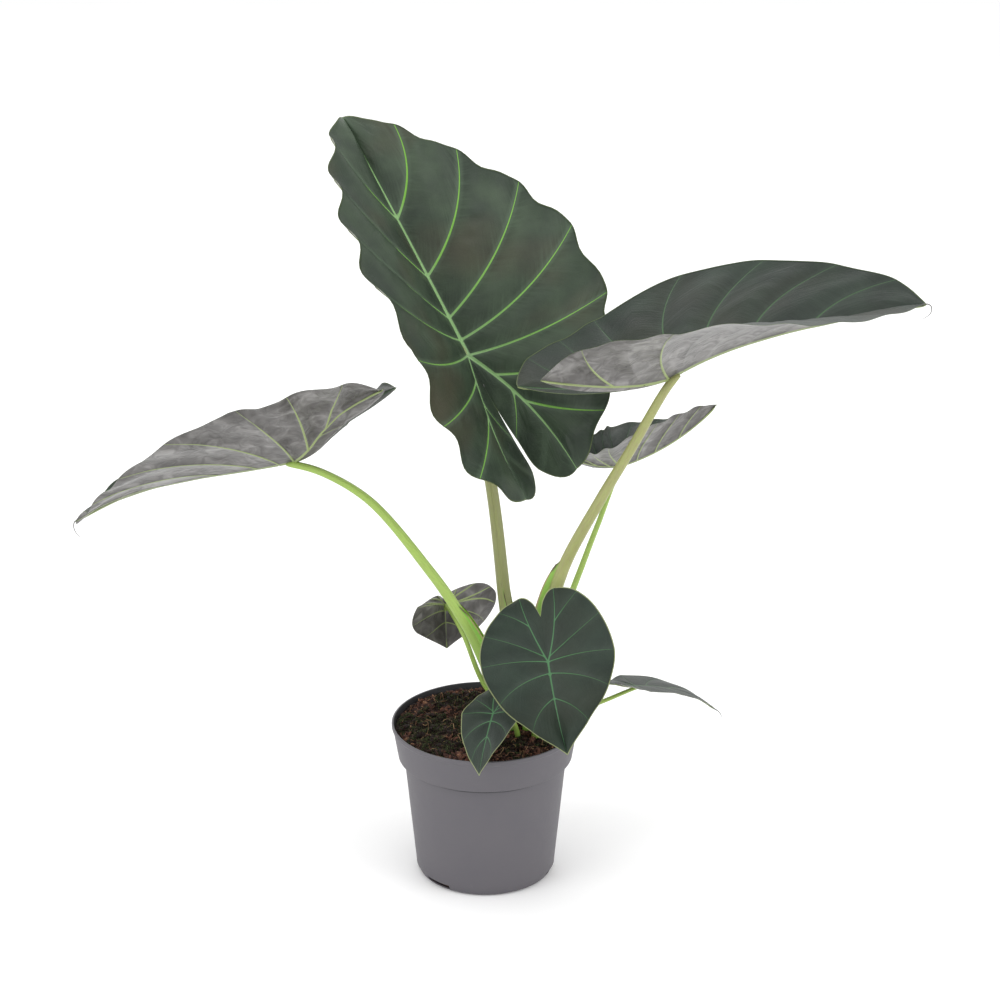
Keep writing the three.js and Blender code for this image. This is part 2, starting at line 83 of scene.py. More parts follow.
@dataclass(frozen=True)
class Outline:
    """Outline of one half blade, tip to sinus.

    Each row is where a side vein runs: the share of its rib where it starts, the margin point
    in blade lengths and half widths, and the bow of the vein. lobe is where the lobe's rib
    ends and bow how far it bows; root and end are the rows at the petiole and at that end.
    """

    lobe: tuple[float, float]
    bow: float
    root: int
    end: int
    veins: tuple[int, ...]
    rows: tuple[Row, ...]


OUTLINES = {
    Habit.ADULT: Outline(
        lobe=(-0.56, 0.27), bow=0.065, root=5, end=8, veins=(1, 2, 3, 4, 5, 6, 7, 9, 10),
        rows=(
            (1.00, 1.00, 0.00, 0.00), (0.56, 0.90, 0.29, 0.11), (0.32, 0.71, 0.58, 0.10),
            (0.15, 0.49, 0.84, 0.08), (0.06, 0.25, 1.01, 0.08), (0.00, -0.04, 1.01, 0.05),
            (0.20, -0.26, 0.86, 0.04), (0.45, -0.45, 0.65, 0.03), (1.00, -0.56, 0.27, 0.00),
            (0.65, -0.46, 0.08, 0.05), (0.35, -0.31, 0.04, 0.05), (0.00, -0.10, 0.00, 0.00),
        ),
    ),
    Habit.YOUNG: Outline(
        lobe=(-0.66, 0.27), bow=0.042, root=3, end=6, veins=(1, 2, 3, 4, 5),
        rows=(
            (1.00, 1.00, 0.00, 0.00), (0.38, 0.77, 0.52, 0.09), (0.12, 0.43, 0.91, 0.08),
            (0.00, 0.01, 1.03, 0.04), (0.07, -0.33, 0.89, 0.01), (0.54, -0.57, 0.62, 0.02),
            (1.00, -0.66, 0.27, 0.00), (0.54, -0.58, 0.09, 0.04), (0.00, -0.43, 0.00, 0.00),
        ),
    ),
}


@dataclass(frozen=True)
class LeafShape:
    """One leaf: where it joins its petiole and how its blade is bent.

    heading and rise aim the midrib and roll turns the blade about it. fold lifts each half,
    curl adds to it toward the margin, and tip and back change it toward the tip and the
    lobes. droop, hook and lobe_droop bend the blade down along its length and crook just
    ahead of and behind the petiole, twist and lobe_twist wring it, side and lobe_side bend
    it in plan. scallop draws each half's margin in between the veins, blunt rounds the tip
    and inner is how much of the lobe's inner side it has. petiole holds the stalk's radius
    at its foot and top, azimuth the side where the foot stands, sheath the reach of its wings
    in radii and the height where they end, and route the points that it runs through.
    near_veins are the veins that show on the right half, where not all do, and drip is the
    course of the thread at the tip.
    """

    name: str
    habit: Habit
    length: float
    width: float
    lobe: float
    attach: tuple[float, float, float]
    heading: float
    rise: float
    roll: float
    fold: tuple[float, float]
    curl: tuple[float, float]
    tip: tuple[float, float]
    back: tuple[float, float]
    droop: float
    hook: float
    lobe_droop: float
    twist: float
    lobe_twist: float
    side: float
    lobe_side: float
    puff: float
    ruffle: float
    petiole: tuple[float, float]
    azimuth: float
    sheath: tuple[float, float]
    route: tuple[tuple[float, float, float], ...]
    crook: tuple[float, float] = (0.0, 0.0)
    scallop: tuple[float, float] = (0.0, 0.0)
    blunt: float = 0.0
    inner: float = 1.0
    near_veins: tuple[int, ...] = ()
    drip: tuple[tuple[float, float, float], ...] = ()

    @property
    def outline(self) -> Outline:
        """Outline that this leaf's growth stage has."""
        return OUTLINES[self.habit]

    @property
    def vein_scale(self) -> float:
        """Size of the leaf's veins against the crown leaf's."""
        return self.petiole[1] / FULL_STEM if self.habit is Habit.ADULT else 0.42


LEAVES = (
    LeafShape(
        "crown", Habit.ADULT, 281, 151, 1.02, (-17, 70, 532), heading=134, rise=50, roll=-27,
        fold=(60, 20), curl=(0, -2), tip=(-13, -21), back=(-1, 7), droop=6, hook=1,
        lobe_droop=-4, twist=0, lobe_twist=-17, side=0, lobe_side=-6, puff=5.5, ruffle=5,
        petiole=(8.2, 5.2), azimuth=105, sheath=(0.5, 300),
        route=((27, 14, 236), (20, 24, 287), (7, 52, 395)), scallop=(0.025, 0.06), blunt=1.0,
        inner=1.25,
    ),
    LeafShape(
        "right", Habit.ADULT, 257, 140, 1.0, (174, -78, 559), heading=21.6, rise=25.3,
        roll=-8.7, fold=(17, 43), curl=(1, -22), tip=(-5, -18), back=(6, 13), droop=13,
        hook=-6, lobe_droop=-29, twist=9, lobe_twist=0, side=-30, lobe_side=-2, puff=2.5,
        ruffle=1.2, petiole=(8.6, 4.2), azimuth=-30, sheath=(1.6, 345),
        route=((67, -12, 292), (77, -16, 337), (112, -44, 422), (140, -62, 481)),
        crook=(7, -6), scallop=(0.01, 0), inner=0.35, near_veins=(5, 7),
        drip=((4, 0, -2), (4, 0, -9), (-3, 0, -15)),
    ),
    LeafShape(
        "left", Habit.ADULT, 284, 116, 0.76, (-187, 0, 446), heading=158, rise=-18, roll=32,
        fold=(7, 35), curl=(10, 0), tip=(-26, 0), back=(-6, 0), droop=13, hook=9,
        lobe_droop=23, twist=-17, lobe_twist=-2, side=-10, lobe_side=-12, puff=3,
        ruffle=3, petiole=(8, 3.4), azimuth=185, sheath=(0.9, 300),
        route=((-7, -16, 254), (-30, -18, 299), (-55, -17, 337), (-113, -8, 407), (-158, -2, 434)),
        crook=(-7, -42), scallop=(0.06, 0.02), drip=((-1, 0, -6), (1, 0, -12), (5, 0, -17)),
    ),
    LeafShape(
        "back", Habit.ADULT, 117, 67, 0.81, (137, 90, 407), heading=2, rise=18, roll=-14,
        fold=(32, 30), curl=(-2, -11), tip=(-8, 1), back=(6, 0), droop=-30, hook=1,
        lobe_droop=-44, twist=-11, lobe_twist=2, side=2, lobe_side=18, puff=1.5,
        ruffle=1.5, scallop=(0.02, 0.02), petiole=(4.6, 2.4), azimuth=50, sheath=(0.5, 250),
        route=((82, 25, 276), (99, 45, 319), (114, 64, 353)),
    ),
    LeafShape(
        "curled", Habit.YOUNG, 44, 60, 0.4, (-42, 58, 266), heading=100, rise=-114, roll=4,
        fold=(-70, -20), curl=(20, -30), tip=(0, -3), back=(2, 17), droop=2, hook=16,
        lobe_droop=-5, twist=30, lobe_twist=-2, side=1, lobe_side=15, puff=0.6,
        ruffle=0, petiole=(3.2, 2), azimuth=145, sheath=(0.3, 200),
        route=((-2, 16, 199), (-23, 22, 252)),
    ),
    LeafShape(
        "heart", Habit.YOUNG, 98, 66, 1.15, (62, -84, 268), heading=-78, rise=-50, roll=7,
        fold=(19, 9), curl=(-1, 0), tip=(29, 31), back=(-5, -22), droop=-6, hook=-12,
        lobe_droop=11, twist=0, lobe_twist=2, side=6, lobe_side=-2, puff=1.2,
        ruffle=0.6, petiole=(4.4, 2.8), azimuth=-75, sheath=(0.4, 210),
        route=((53, -42, 215), (58, -62, 255)),
    ),
    LeafShape(
        "low", Habit.YOUNG, 65, 36, 0.97, (8, -78, 209), heading=-110, rise=-38, roll=15,
        fold=(11, -3), curl=(-5, 3), tip=(6, -5), back=(0, -9), droop=16, hook=1,
        lobe_droop=17, twist=25, lobe_twist=3, side=-1, lobe_side=0, puff=0.8,
        ruffle=0.4, petiole=(3.2, 2), azimuth=-125, sheath=(0.3, 185),
        route=((23, -44, 192), (13, -62, 207)),
    ),
    LeafShape(
        "side", Habit.YOUNG, 96, 35, 0.45, (152, -10, 208), heading=23, rise=-8, roll=-16,
        fold=(10, -4), curl=(1, 2), tip=(0, -3), back=(-7, 3), droop=31, hook=7,
        lobe_droop=-11, twist=2, lobe_twist=-5, side=-2, lobe_side=2, puff=0.8,
        ruffle=0.4, petiole=(2.8, 1.7), azimuth=8, sheath=(0.3, 175),
        route=((86, -10, 177), (118, -10, 190)),
        drip=((3, 0, -2), (6, 0, -6), (7, 0, -9)),
    ),
)


# ---------------------------------------------------------------- small tools


def linear(code: str) -> tuple[float, float, float, float]:
    """Turn an sRGB hex value such as #6d6b70 into linear colour.

    Args:
        code: The sRGB value.

    Returns:
        Red, green, blue and alpha.
    """
    share = np.array([int(code[k:k + 2], 16) for k in (1, 3, 5)]) / 255
    value = np.where(share <= 0.04045, share / 12.92, ((share + 0.055) / 1.055) ** 2.4)
    return (*map(float, value), 1.0)


def add_node(
    tree: bpy.types.NodeTree,
    kind: str,
    inputs: dict[str | int, object] | None = None,
    ramp: Ramp = (),
    **settings: object,
) -> Node:
    """Add a node with its settings and links.

    Args:
        tree: The node tree.
        kind: The node's type, without its ShaderNode prefix.
        inputs: Socket name or index to what goes there: a value, an sRGB hex colour, a socket
            that feeds it, or a node whose first live output does.
        ramp: Stops of a colour ramp, as place and sRGB hex.
        settings: The node's own settings.

    Returns:
        The node.
    """
    node = tree.nodes.new("ShaderNode" + kind)
    for key, value in settings.items():
        setattr(node, key, value)
    for key, value in (inputs or {}).items():
        if isinstance(value, Node):
            value = next(socket for socket in value.outputs if socket.enabled)
        if isinstance(value, bpy.types.NodeSocket):
            tree.links.new(value, node.inputs[key])
        else:
            node.inputs[key].default_value = linear(value) if isinstance(value, str) else value
    for k, (place, code) in enumerate(ramp):
        stops = node.color_ramp.elements
        stop = stops[k] if k < 2 else stops.new(place)
        stop.position, stop.color = place, linear(code)
    return node


def new_material(name: str) -> tuple[bpy.types.Material, Callable[..., Node]]:
    """Make a material with an empty tree.

    Args:
        name: The material's name.

    Returns:
        The material, and add_node bound to its tree.
    """
    material = bpy.data.materials.new(name)
    material.use_nodes = True
    material.node_tree.nodes.clear()
    return material, partial(add_node, material.node_tree)


def lattice_noise(x: Array, y: Array, seed: int) -> Array:
    """Smooth noise from -1 to 1: random values at whole steps, blended by smoothstep.

    Args:
        x: First coordinate, in cells.
        y: Second coordinate, in cells.
        seed: Seed of the random values.

    Returns:
        The noise at each point.
    """
    table = np.random.default_rng(seed).uniform(-1, 1, (64, 64))
    ix, iy = np.floor(x).astype(int), np.floor(y).astype(int)
    fx, fy = x - ix, y - iy
    fx, fy = fx * fx * (3 - 2 * fx), fy * fy * (3 - 2 * fy)
    at = lambda a, b: table[(ix + a) % 64, (iy + b) % 64]
    low = at(0, 0) * (1 - fx) + at(1, 0) * fx
    high = at(0, 1) * (1 - fx) + at(1, 1) * fx
    return low * (1 - fy) + high * fy


def smoothstep(low: float, high: float, value: Array) -> Array:
    """Ease from 0 at low to 1 at high."""
    share = np.clip((value - low) / (high - low), 0, 1)
    return share * share * (3 - 2 * share)


def unit(vectors: Array) -> Array:
    """Scale vectors to length 1."""
    return vectors / np.maximum(np.linalg.norm(vectors, axis=-1, keepdims=True), 1e-12)


def circle(sides: int) -> Array:
    """Angles of evenly spaced points around a circle."""
    return 2 * np.pi * np.arange(sides) / sides


def quads(a: Array, b: Array, c: Array, d: Array) -> Array:
    """Triangles of four-sided faces, given by the vertex numbers of their corners."""
    return np.concatenate([np.stack([a, b, c], 1), np.stack([a, c, d], 1)])


def grid_faces(index: Array, closed: bool = False) -> Array:
    """Triangles of a grid of vertex numbers, without those that have collapsed.

    Args:
        index: Vertex numbers, rows by columns.
        closed: Whether the last column joins the first.

    Returns:
        Triangles, three vertex numbers each.
    """
    if closed:
        index = np.concatenate([index, index[:, :1]], axis=1)
    tris = quads(index[:-1, :-1].ravel(), index[:-1, 1:].ravel(), index[1:, 1:].ravel(),
                 index[1:, :-1].ravel())
    good = (tris[:, 0] != tris[:, 1]) & (tris[:, 1] != tris[:, 2]) & (tris[:, 0] != tris[:, 2])
    return tris[good]


def end_fans(index: Array) -> Array:
    """Fans that close a run of rings onto two middle points, numbered after the rings."""
    after = np.roll(index, -1, axis=1)
    middle = np.full(index.shape[1], index.size)
    return np.concatenate([np.stack([middle, after[0], index[0]], 1),
                           np.stack([middle + 1, index[-1], after[-1]], 1)])


def hoops(centre: Array, radius: Array, sides: int, guide: tuple[float, ...]) -> Array:
    """Circles carried square to a path, or to many.

    Args:
        centre: Points of the path.
        radius: Radius at each point.
        sides: Points in each circle.
        guide: Direction that the circles' first points stay square to.

    Returns:
        Points, with one more axis than the path, for the place around the circle.
    """
    way = unit(np.gradient(centre, axis=-2))
    one = unit(np.cross(way, guide))
    two = np.cross(way, one)
    angle = circle(sides)[:, None]
    ring = one[..., None, :] * np.cos(angle) + two[..., None, :] * np.sin(angle)
    return centre[..., None, :] + ring * radius[..., None, None]


def vertex_normals(points: Array, faces: Array) -> Array:
    """Unit normals at the vertices, each the sum of its triangles' area vectors.

    Args:
        points: Vertices.
        faces: Triangles.

    Returns:
        One unit vector for each vertex.
    """
    corner = points[faces]
    area = np.cross(corner[:, 1] - corner[:, 0], corner[:, 2] - corner[:, 0])
    total = np.zeros_like(points)
    for k in range(3):
        np.add.at(total, faces[:, k], area)
    return unit(total)


def show(name: str, data: bpy.types.ID) -> bpy.types.Object:
    """Put an object with this data into the scene."""
    thing = bpy.data.objects.new(name, data)
    bpy.context.scene.collection.objects.link(thing)
    return thing


@dataclass
class Skin:
    """A mesh in the making: vertices in millimetres, triangles, slots and vertex values."""

    points: Array
    faces: Array
    slots: Array | None = None
    values: dict[str, Array] = field(default_factory=dict)

    def join(self, other: "Skin") -> "Skin":
        """Put two skins into one; a value that one lacks is 0 there."""
        count = len(self.points)
        slots = [s.slots if s.slots is not None else np.zeros(len(s.faces), int)
                 for s in (self, other)]
        values = {}
        for key, known in {**other.values, **self.values}.items():
            values[key] = np.concatenate([
                s.values.get(key, np.zeros((len(s.points), *known.shape[1:])))
                for s in (self, other)
            ])
        return Skin(np.concatenate([self.points, other.points]),
                    np.concatenate([self.faces, other.faces + count]), np.concatenate(slots),
                    values)

    def piece(self, name: str, finishes: list[bpy.types.Material], stands_for: tuple[str, ...],
              slot: str) -> bpy.types.Object:
        """Make the object, dress it and set it on the body.

        Args:
            name: The piece's name.
            finishes: Materials, one for each slot number.
            stands_for: CAD nodes that the piece replaces.
            slot: A material slot's name; not used.

        Returns:
            The finished object, at the origin.
        """
        mesh = bpy.data.meshes.new(name)
        mesh.from_pydata((self.points * MM).tolist(), [], self.faces.tolist())
        for material in finishes:
            mesh.materials.append(material)
        if self.slots is not None:
            mesh.polygons.foreach_set("material_index", self.slots.astype(np.int32))
        mesh.polygons.foreach_set("use_smooth", np.ones(len(self.faces), bool))
        for key, value in self.values.items():
            kind, attr = ("FLOAT", "value") if value.ndim == 1 else ("FLOAT_VECTOR", "vector")
            layer = mesh.attributes.new(key, kind, "POINT")
            layer.data.foreach_set(attr, value.astype(np.float32).ravel())
        mesh.update()
        thing = show(name, mesh)
        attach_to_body(thing, "root")
        if stands_for:
            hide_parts(*stands_for)
        log.info("%s: %d vertices, %d triangles", name, len(self.points), len(self.faces))
        return thing


def sweep(rings: Array, values: dict[str, Array], ends: Array | None = None) -> Skin:
    """Skin over a run of rings, closed by a fan at each end.

    Args:
        rings: Points, rings by points around by 3.
        values: Vertex values, rings by points around.
        ends: Middles of the two fans; the rings' own means if not given.

    Returns:
        The closed skin, whose fans take the values at the run's first and last point.
    """
    index = np.arange(rings[..., 0].size).reshape(rings.shape[:2])
    middles = rings[[0, -1]].mean(axis=1) if ends is None else ends
    flat = {key: value.reshape(index.size, *value.shape[2:]) for key, value in values.items()}
    return Skin(
        np.vstack([rings.reshape(-1, 3), middles]),
        np.concatenate([grid_faces(index, closed=True), end_fans(index)]),
        None,
        {key: np.concatenate([value, value[[0, -1]]]) for key, value in flat.items()},
    )


# ---------------------------------------------------------------- finishes


@dataclass(frozen=True)
class Coat:
    """What a finish is made of: colour, fine relief, wear and the shader's constant values.

    strength and depth, in millimetres, are the relief's; spread is how far the wear takes the
    roughness below and above the finish's own.
    """

    colour: Node
    relief: Node
    strength: float
    depth: float
    wear: Node
    spread: tuple[float, float]
    sockets: dict[str, object]


@dataclass(frozen=True, kw_only=True)
class Finish:
    """Base of the finishes: a coat over one physical shader."""

    name: str
    roughness: float

    def coat(self, add: Callable[..., Node]) -> Coat:
        """Make the coat's nodes.

        Args:
            add: add_node, bound to the material's tree.

        Returns:
            The coat.
        """
        raise NotImplementedError

    def material(self) -> bpy.types.Material:
        """Build the material."""
        material, add = new_material(self.name)
        coat = self.coat(add)
        bump = add("Bump", {"Height": coat.relief, "Strength": coat.strength,
                            "Distance": coat.depth * MM})
        gloss = add("MapRange", {"Value": coat.wear, 3: self.roughness - coat.spread[0],
                                 4: self.roughness + coat.spread[1]})
        shader = add("BsdfPrincipled", {"Base Color": coat.colour, "Roughness": gloss,
                                        "Normal": bump, **coat.sockets})
        add("OutputMaterial", {"Surface": shader})
        return material


@dataclass(frozen=True, kw_only=True)
class UpperLeaf(Finish):
    """Upper face of a leaf: a waxy cuticle over deep green tissue.

    The wax gives soft wide highlights; feathered side veins stand a little paler than the
    tissue between them, partly in their own colour and partly as painted sheen, and the main
    veins are bright green.
    """

    tissue: str
    shade: str
    warm: str
    # bloom is a pale grey-green: partly the leaf's own streaking, partly painted sheen
    bloom_and_sheen: str
    vein: str
    pale_vein: str
    rim: str
    streaks: float
    glow: float = 0.2
    roughness: float = 0.42

    def coat(self, add: Callable[..., Node]) -> Coat:
        """Lay clouds, barbs, bloom with painted sheen, veins and rim over the tissue, in that
        order.
        """
        weave = add("Attribute", attribute_name="weave").outputs["Vector"]
        ridge, near, heart, margin = (add("Attribute", attribute_name=key).outputs["Fac"]
                                      for key in ("ridge", "near", "heart", "margin"))
        place = add("TexCoord").outputs["Object"]
        # cloudy tone, patches about 40 mm wide, and brownish clouds about 110 mm wide
        cloud = add("TexNoise", {"Vector": place, "Scale": 26.0, "Detail": 3.0})
        tone = add("MapRange", {"Value": cloud, 1: 0.35, 2: 0.7})
        patch = add("TexNoise", {"Vector": place, "Scale": 9.0, "Detail": 2.0})
        brown = add("MapRange", {"Value": patch, 1: 0.48, 2: 0.66, 4: 0.8})
        # feathered barbs about 4 mm apart and 30 mm long, gone 16 mm away from a vein
        along = add("Mapping", {"Vector": weave, "Scale": (0.24, 0.03, 1.0)})
        feather = add("TexNoise", {"Vector": along, "Scale": 1.0, "Detail": 3.0,
                                   "Roughness": 0.55, "Distortion": 0.5})
        comb = add("MapRange", {"Value": feather, 1: 0.45, 2: 0.75, 4: self.streaks})
        reach = add("MapRange", {"Value": near, 1: 2.0, 2: 16.0, 3: 1.0, 4: 0.08})
        barbs = add("Math", {0: comb, 1: reach}, operation="MULTIPLY")
        # pale bloom, partly painted sheen, beside a vein, fading over 6 mm, the vein's own line
        # and the leaf's rim
        glow, line, edge = (
            add("MapRange", {"Value": value, 1: far, 2: close, 4: most},
                interpolation_type="SMOOTHSTEP")
            for value, far, close, most in ((near, 6.0, 0.5, self.glow), (ridge, 1.25, 0.7, 1.0),
                                            (margin, 1.3, 0.6, 1.0))
        )
        green = add("Mix", {0: heart, 6: self.vein, 7: self.pale_vein}, data_type="RGBA")
        colour = self.shade
        # the barbs and the halo by the veins take the bloom colour, partly the leaf's own pale
        # streaks and partly painted sheen
        for share, over in ((tone, self.tissue), (brown, self.warm), (barbs, self.bloom_and_sheen),
                            (glow, self.bloom_and_sheen), (line, green), (edge, self.rim)):
            colour = add("Mix", {0: share, 6: colour, 7: over}, data_type="RGBA")
        fine = add("TexNoise", {"Vector": place, "Scale": 900.0, "Detail": 2.0})
        relief = add("Math", {0: feather, 1: 2.0, 2: fine}, operation="MULTIPLY_ADD")
        return Coat(colour, relief, 0.35, 0.5, cloud, (0.06, 0.08),
                    {"IOR": 1.42, "Specular IOR Level": 0.28})


@dataclass(frozen=True, kw_only=True)
class UnderLeaf(Finish):
    """Under face of a leaf: a thin silvery skin, paler than the upper face.

    The skin lies loose over the tissue, so it shows fine creases and a satin gloss, and the
    main veins stand out of it as light green ribs.
    """

    name: str = "silvery_under_skin"
    skin: str = "#605e5c"
    # shade and light are painted shade and painted highlight on the creases; skin is the skin's
    # own grey
    shade: str = "#4a4846"
    light: str = "#858381"
    rib: str = "#8c9a66"
    roughness: float = 0.33

    def coat(self, add: Callable[..., Node]) -> Coat:
        """Cloud the skin, paint shade into its crease hollows and highlight onto their crests, and
        draw the ribs on it.
        """
        ridge = add("Attribute", attribute_name="ridge").outputs["Fac"]
        place = add("TexCoord").outputs["Object"]
        cloud = add("TexNoise", {"Vector": place, "Scale": 30.0, "Detail": 3.0})
        # soft wandering creases about 15 mm apart; they make the relief and, through the ramp,
        # painted shade in their hollows and painted highlight on their crests
        crease = add("TexNoise", {"Vector": place, "Scale": 65.0, "Detail": 2.0,
                                  "Roughness": 0.5, "Distortion": 1.2})
        both = add("Math", {0: cloud, 1: crease}, operation="ADD")
        share = add("Math", {0: both, 1: 0.5}, operation="MULTIPLY")
        # the random clouds give the skin's own tone, and the crease term adds painted shade and
        # painted highlight
        skin = add("ValToRGB", {"Fac": share},
                   ((0.36, self.shade), (0.66, self.light), (0.5, self.skin)))
        line = add("MapRange", {"Value": ridge, 1: 1.35, 2: 0.95},
                   interpolation_type="SMOOTHSTEP")
        colour = add("Mix", {0: line, 6: skin, 7: self.rib}, data_type="RGBA")
        return Coat(colour, crease, 0.4, 4.0, cloud, (0.06, 0.1),
                    {"IOR": 1.45, "Sheen Weight": 0.05, "Sheen Roughness": 0.4})


@dataclass(frozen=True, kw_only=True)
class Stalk(Finish):
    """Petiole: juicy green stem with a thin waxy skin and fine lengthwise mottling."""

    name: str = "pale_green_stalk"
    top: str = "#95b056"
    foot: str = "#6a9a30"
    fleck: str = "#868f52"
    sheath: str = "#74a63a"
    edge: str = "#a88f6c"
    dry: str = "#4a3a2c"
    roughness: float = 0.38

    def coat(self, add: Callable[..., Node]) -> Coat:
        """Fade the stem from foot to top, fleck it and colour its sheath."""
        along, wing, dried = (add("Attribute", attribute_name=key).outputs["Fac"]
                              for key in ("along", "wing", "dried"))
        skin = add("Attribute", attribute_name="skin").outputs["Vector"]
        # flecks about 1.5 mm wide and 12 mm long
        stretch = add("Mapping", {"Vector": skin, "Scale": (0.7, 0.7, 0.08)})
        fleck = add("TexNoise", {"Vector": stretch, "Scale": 1.0, "Detail": 4.0,
                                 "Roughness": 0.65})
        amount = add("MapRange", {"Value": fleck, 1: 0.45, 2: 0.75, 4: 0.55})
        leafy = add("MapRange", {"Value": wing, 1: 0.02, 2: 0.35, 4: 0.9})
        rim = add("MapRange", {"Value": wing, 1: 0.84, 2: 0.97})
        colour = add("ValToRGB", {"Fac": along},
                     ((0.02, self.foot), (1.0, self.top), (0.45, self.top)))
        for share, over in ((amount, self.fleck), (leafy, self.sheath), (rim, self.edge),
                            (dried, self.dry)):
            colour = add("Mix", {0: share, 6: colour, 7: over}, data_type="RGBA")
        return Coat(colour, fleck, 0.3, 0.6, fleck, (0.06, 0.1),
                    {"IOR": 1.42, "Subsurface Weight": 0.12,
                     "Subsurface Radius": (0.6, 1.0, 0.3), "Subsurface Scale": 0.003})


@dataclass(frozen=True, kw_only=True)
class PotPlastic(Finish):
    """Nursery pot: recycled polypropylene, injection moulded, matt with a fine grain."""

    name: str = "moulded_polypropylene"
    grey: str = "#545258"
    warm: str = "#5b585c"
    dust: str = "#7b797d"
    # inside is painted shade: the pot's inside is the same grey plastic, darkened where it lies in
    # shade
    inside: str = "#2e2e32"
    roughness: float = 0.5

    def coat(self, add: Callable[..., Node]) -> Coat:
        """Cloud the grey, dust it and paint shade over the pot's inside."""
        place = add("TexCoord").outputs["Object"]
        inner = add("Attribute", attribute_name="inner").outputs["Fac"]
        cloud = add("TexNoise", {"Vector": place, "Scale": 22.0, "Detail": 4.0})
        # dust and scuffs about 8 mm long
        scuff = add("TexNoise", {"Vector": place, "Scale": 120.0, "Detail": 6.0,
                                 "Roughness": 0.75})
        dusty = add("MapRange", {"Value": scuff, 1: 0.62, 2: 0.8, 4: 0.18})
        colour = self.grey
        # the inner mask lays painted shade over the pot's inside, in its hollow
        for share, over in ((cloud, self.warm), (dusty, self.dust), (inner, self.inside)):
            colour = add("Mix", {0: share, 6: colour, 7: over}, data_type="RGBA")
        # the real grain is 0.1 mm; drawn at 0.6 mm so that it shows
        grain = add("TexNoise", {"Vector": place, "Scale": 1600.0, "Detail": 2.0})
        return Coat(colour, grain, 0.15, 0.3, scuff, (0.06, 0.12), {"IOR": 1.49})


@dataclass(frozen=True, kw_only=True)
class Compost(Finish):
    """Potting mix: shredded coir and bark, dark and damp in the gaps and rusty on top."""

    ramp: Ramp
    roughness: float = 0.9

    def coat(self, add: Callable[..., Node]) -> Coat:
        """Take each bit's tint from the ramp, mottled by the grit."""
        place = add("TexCoord").outputs["Object"]
        tint = add("Attribute", attribute_name="tint").outputs["Fac"]
        # fibres about 1.2 mm wide
        grit = add("TexNoise", {"Vector": place, "Scale": 800.0, "Detail": 5.0,
                                "Roughness": 0.7})
        spread = add("MapRange", {"Value": grit, 1: 0.3, 2: 0.7, 3: -0.22, 4: 0.22})
        mixed = add("Math", {0: tint, 1: spread}, operation="ADD")
        colour = add("ValToRGB", {"Fac": mixed}, self.ramp)
        return Coat(colour, grit, 0.8, 1.0, grit, (0.15, 0.1), {"Specular IOR Level": 0.3})


# ---------------------------------------------------------------- leaves


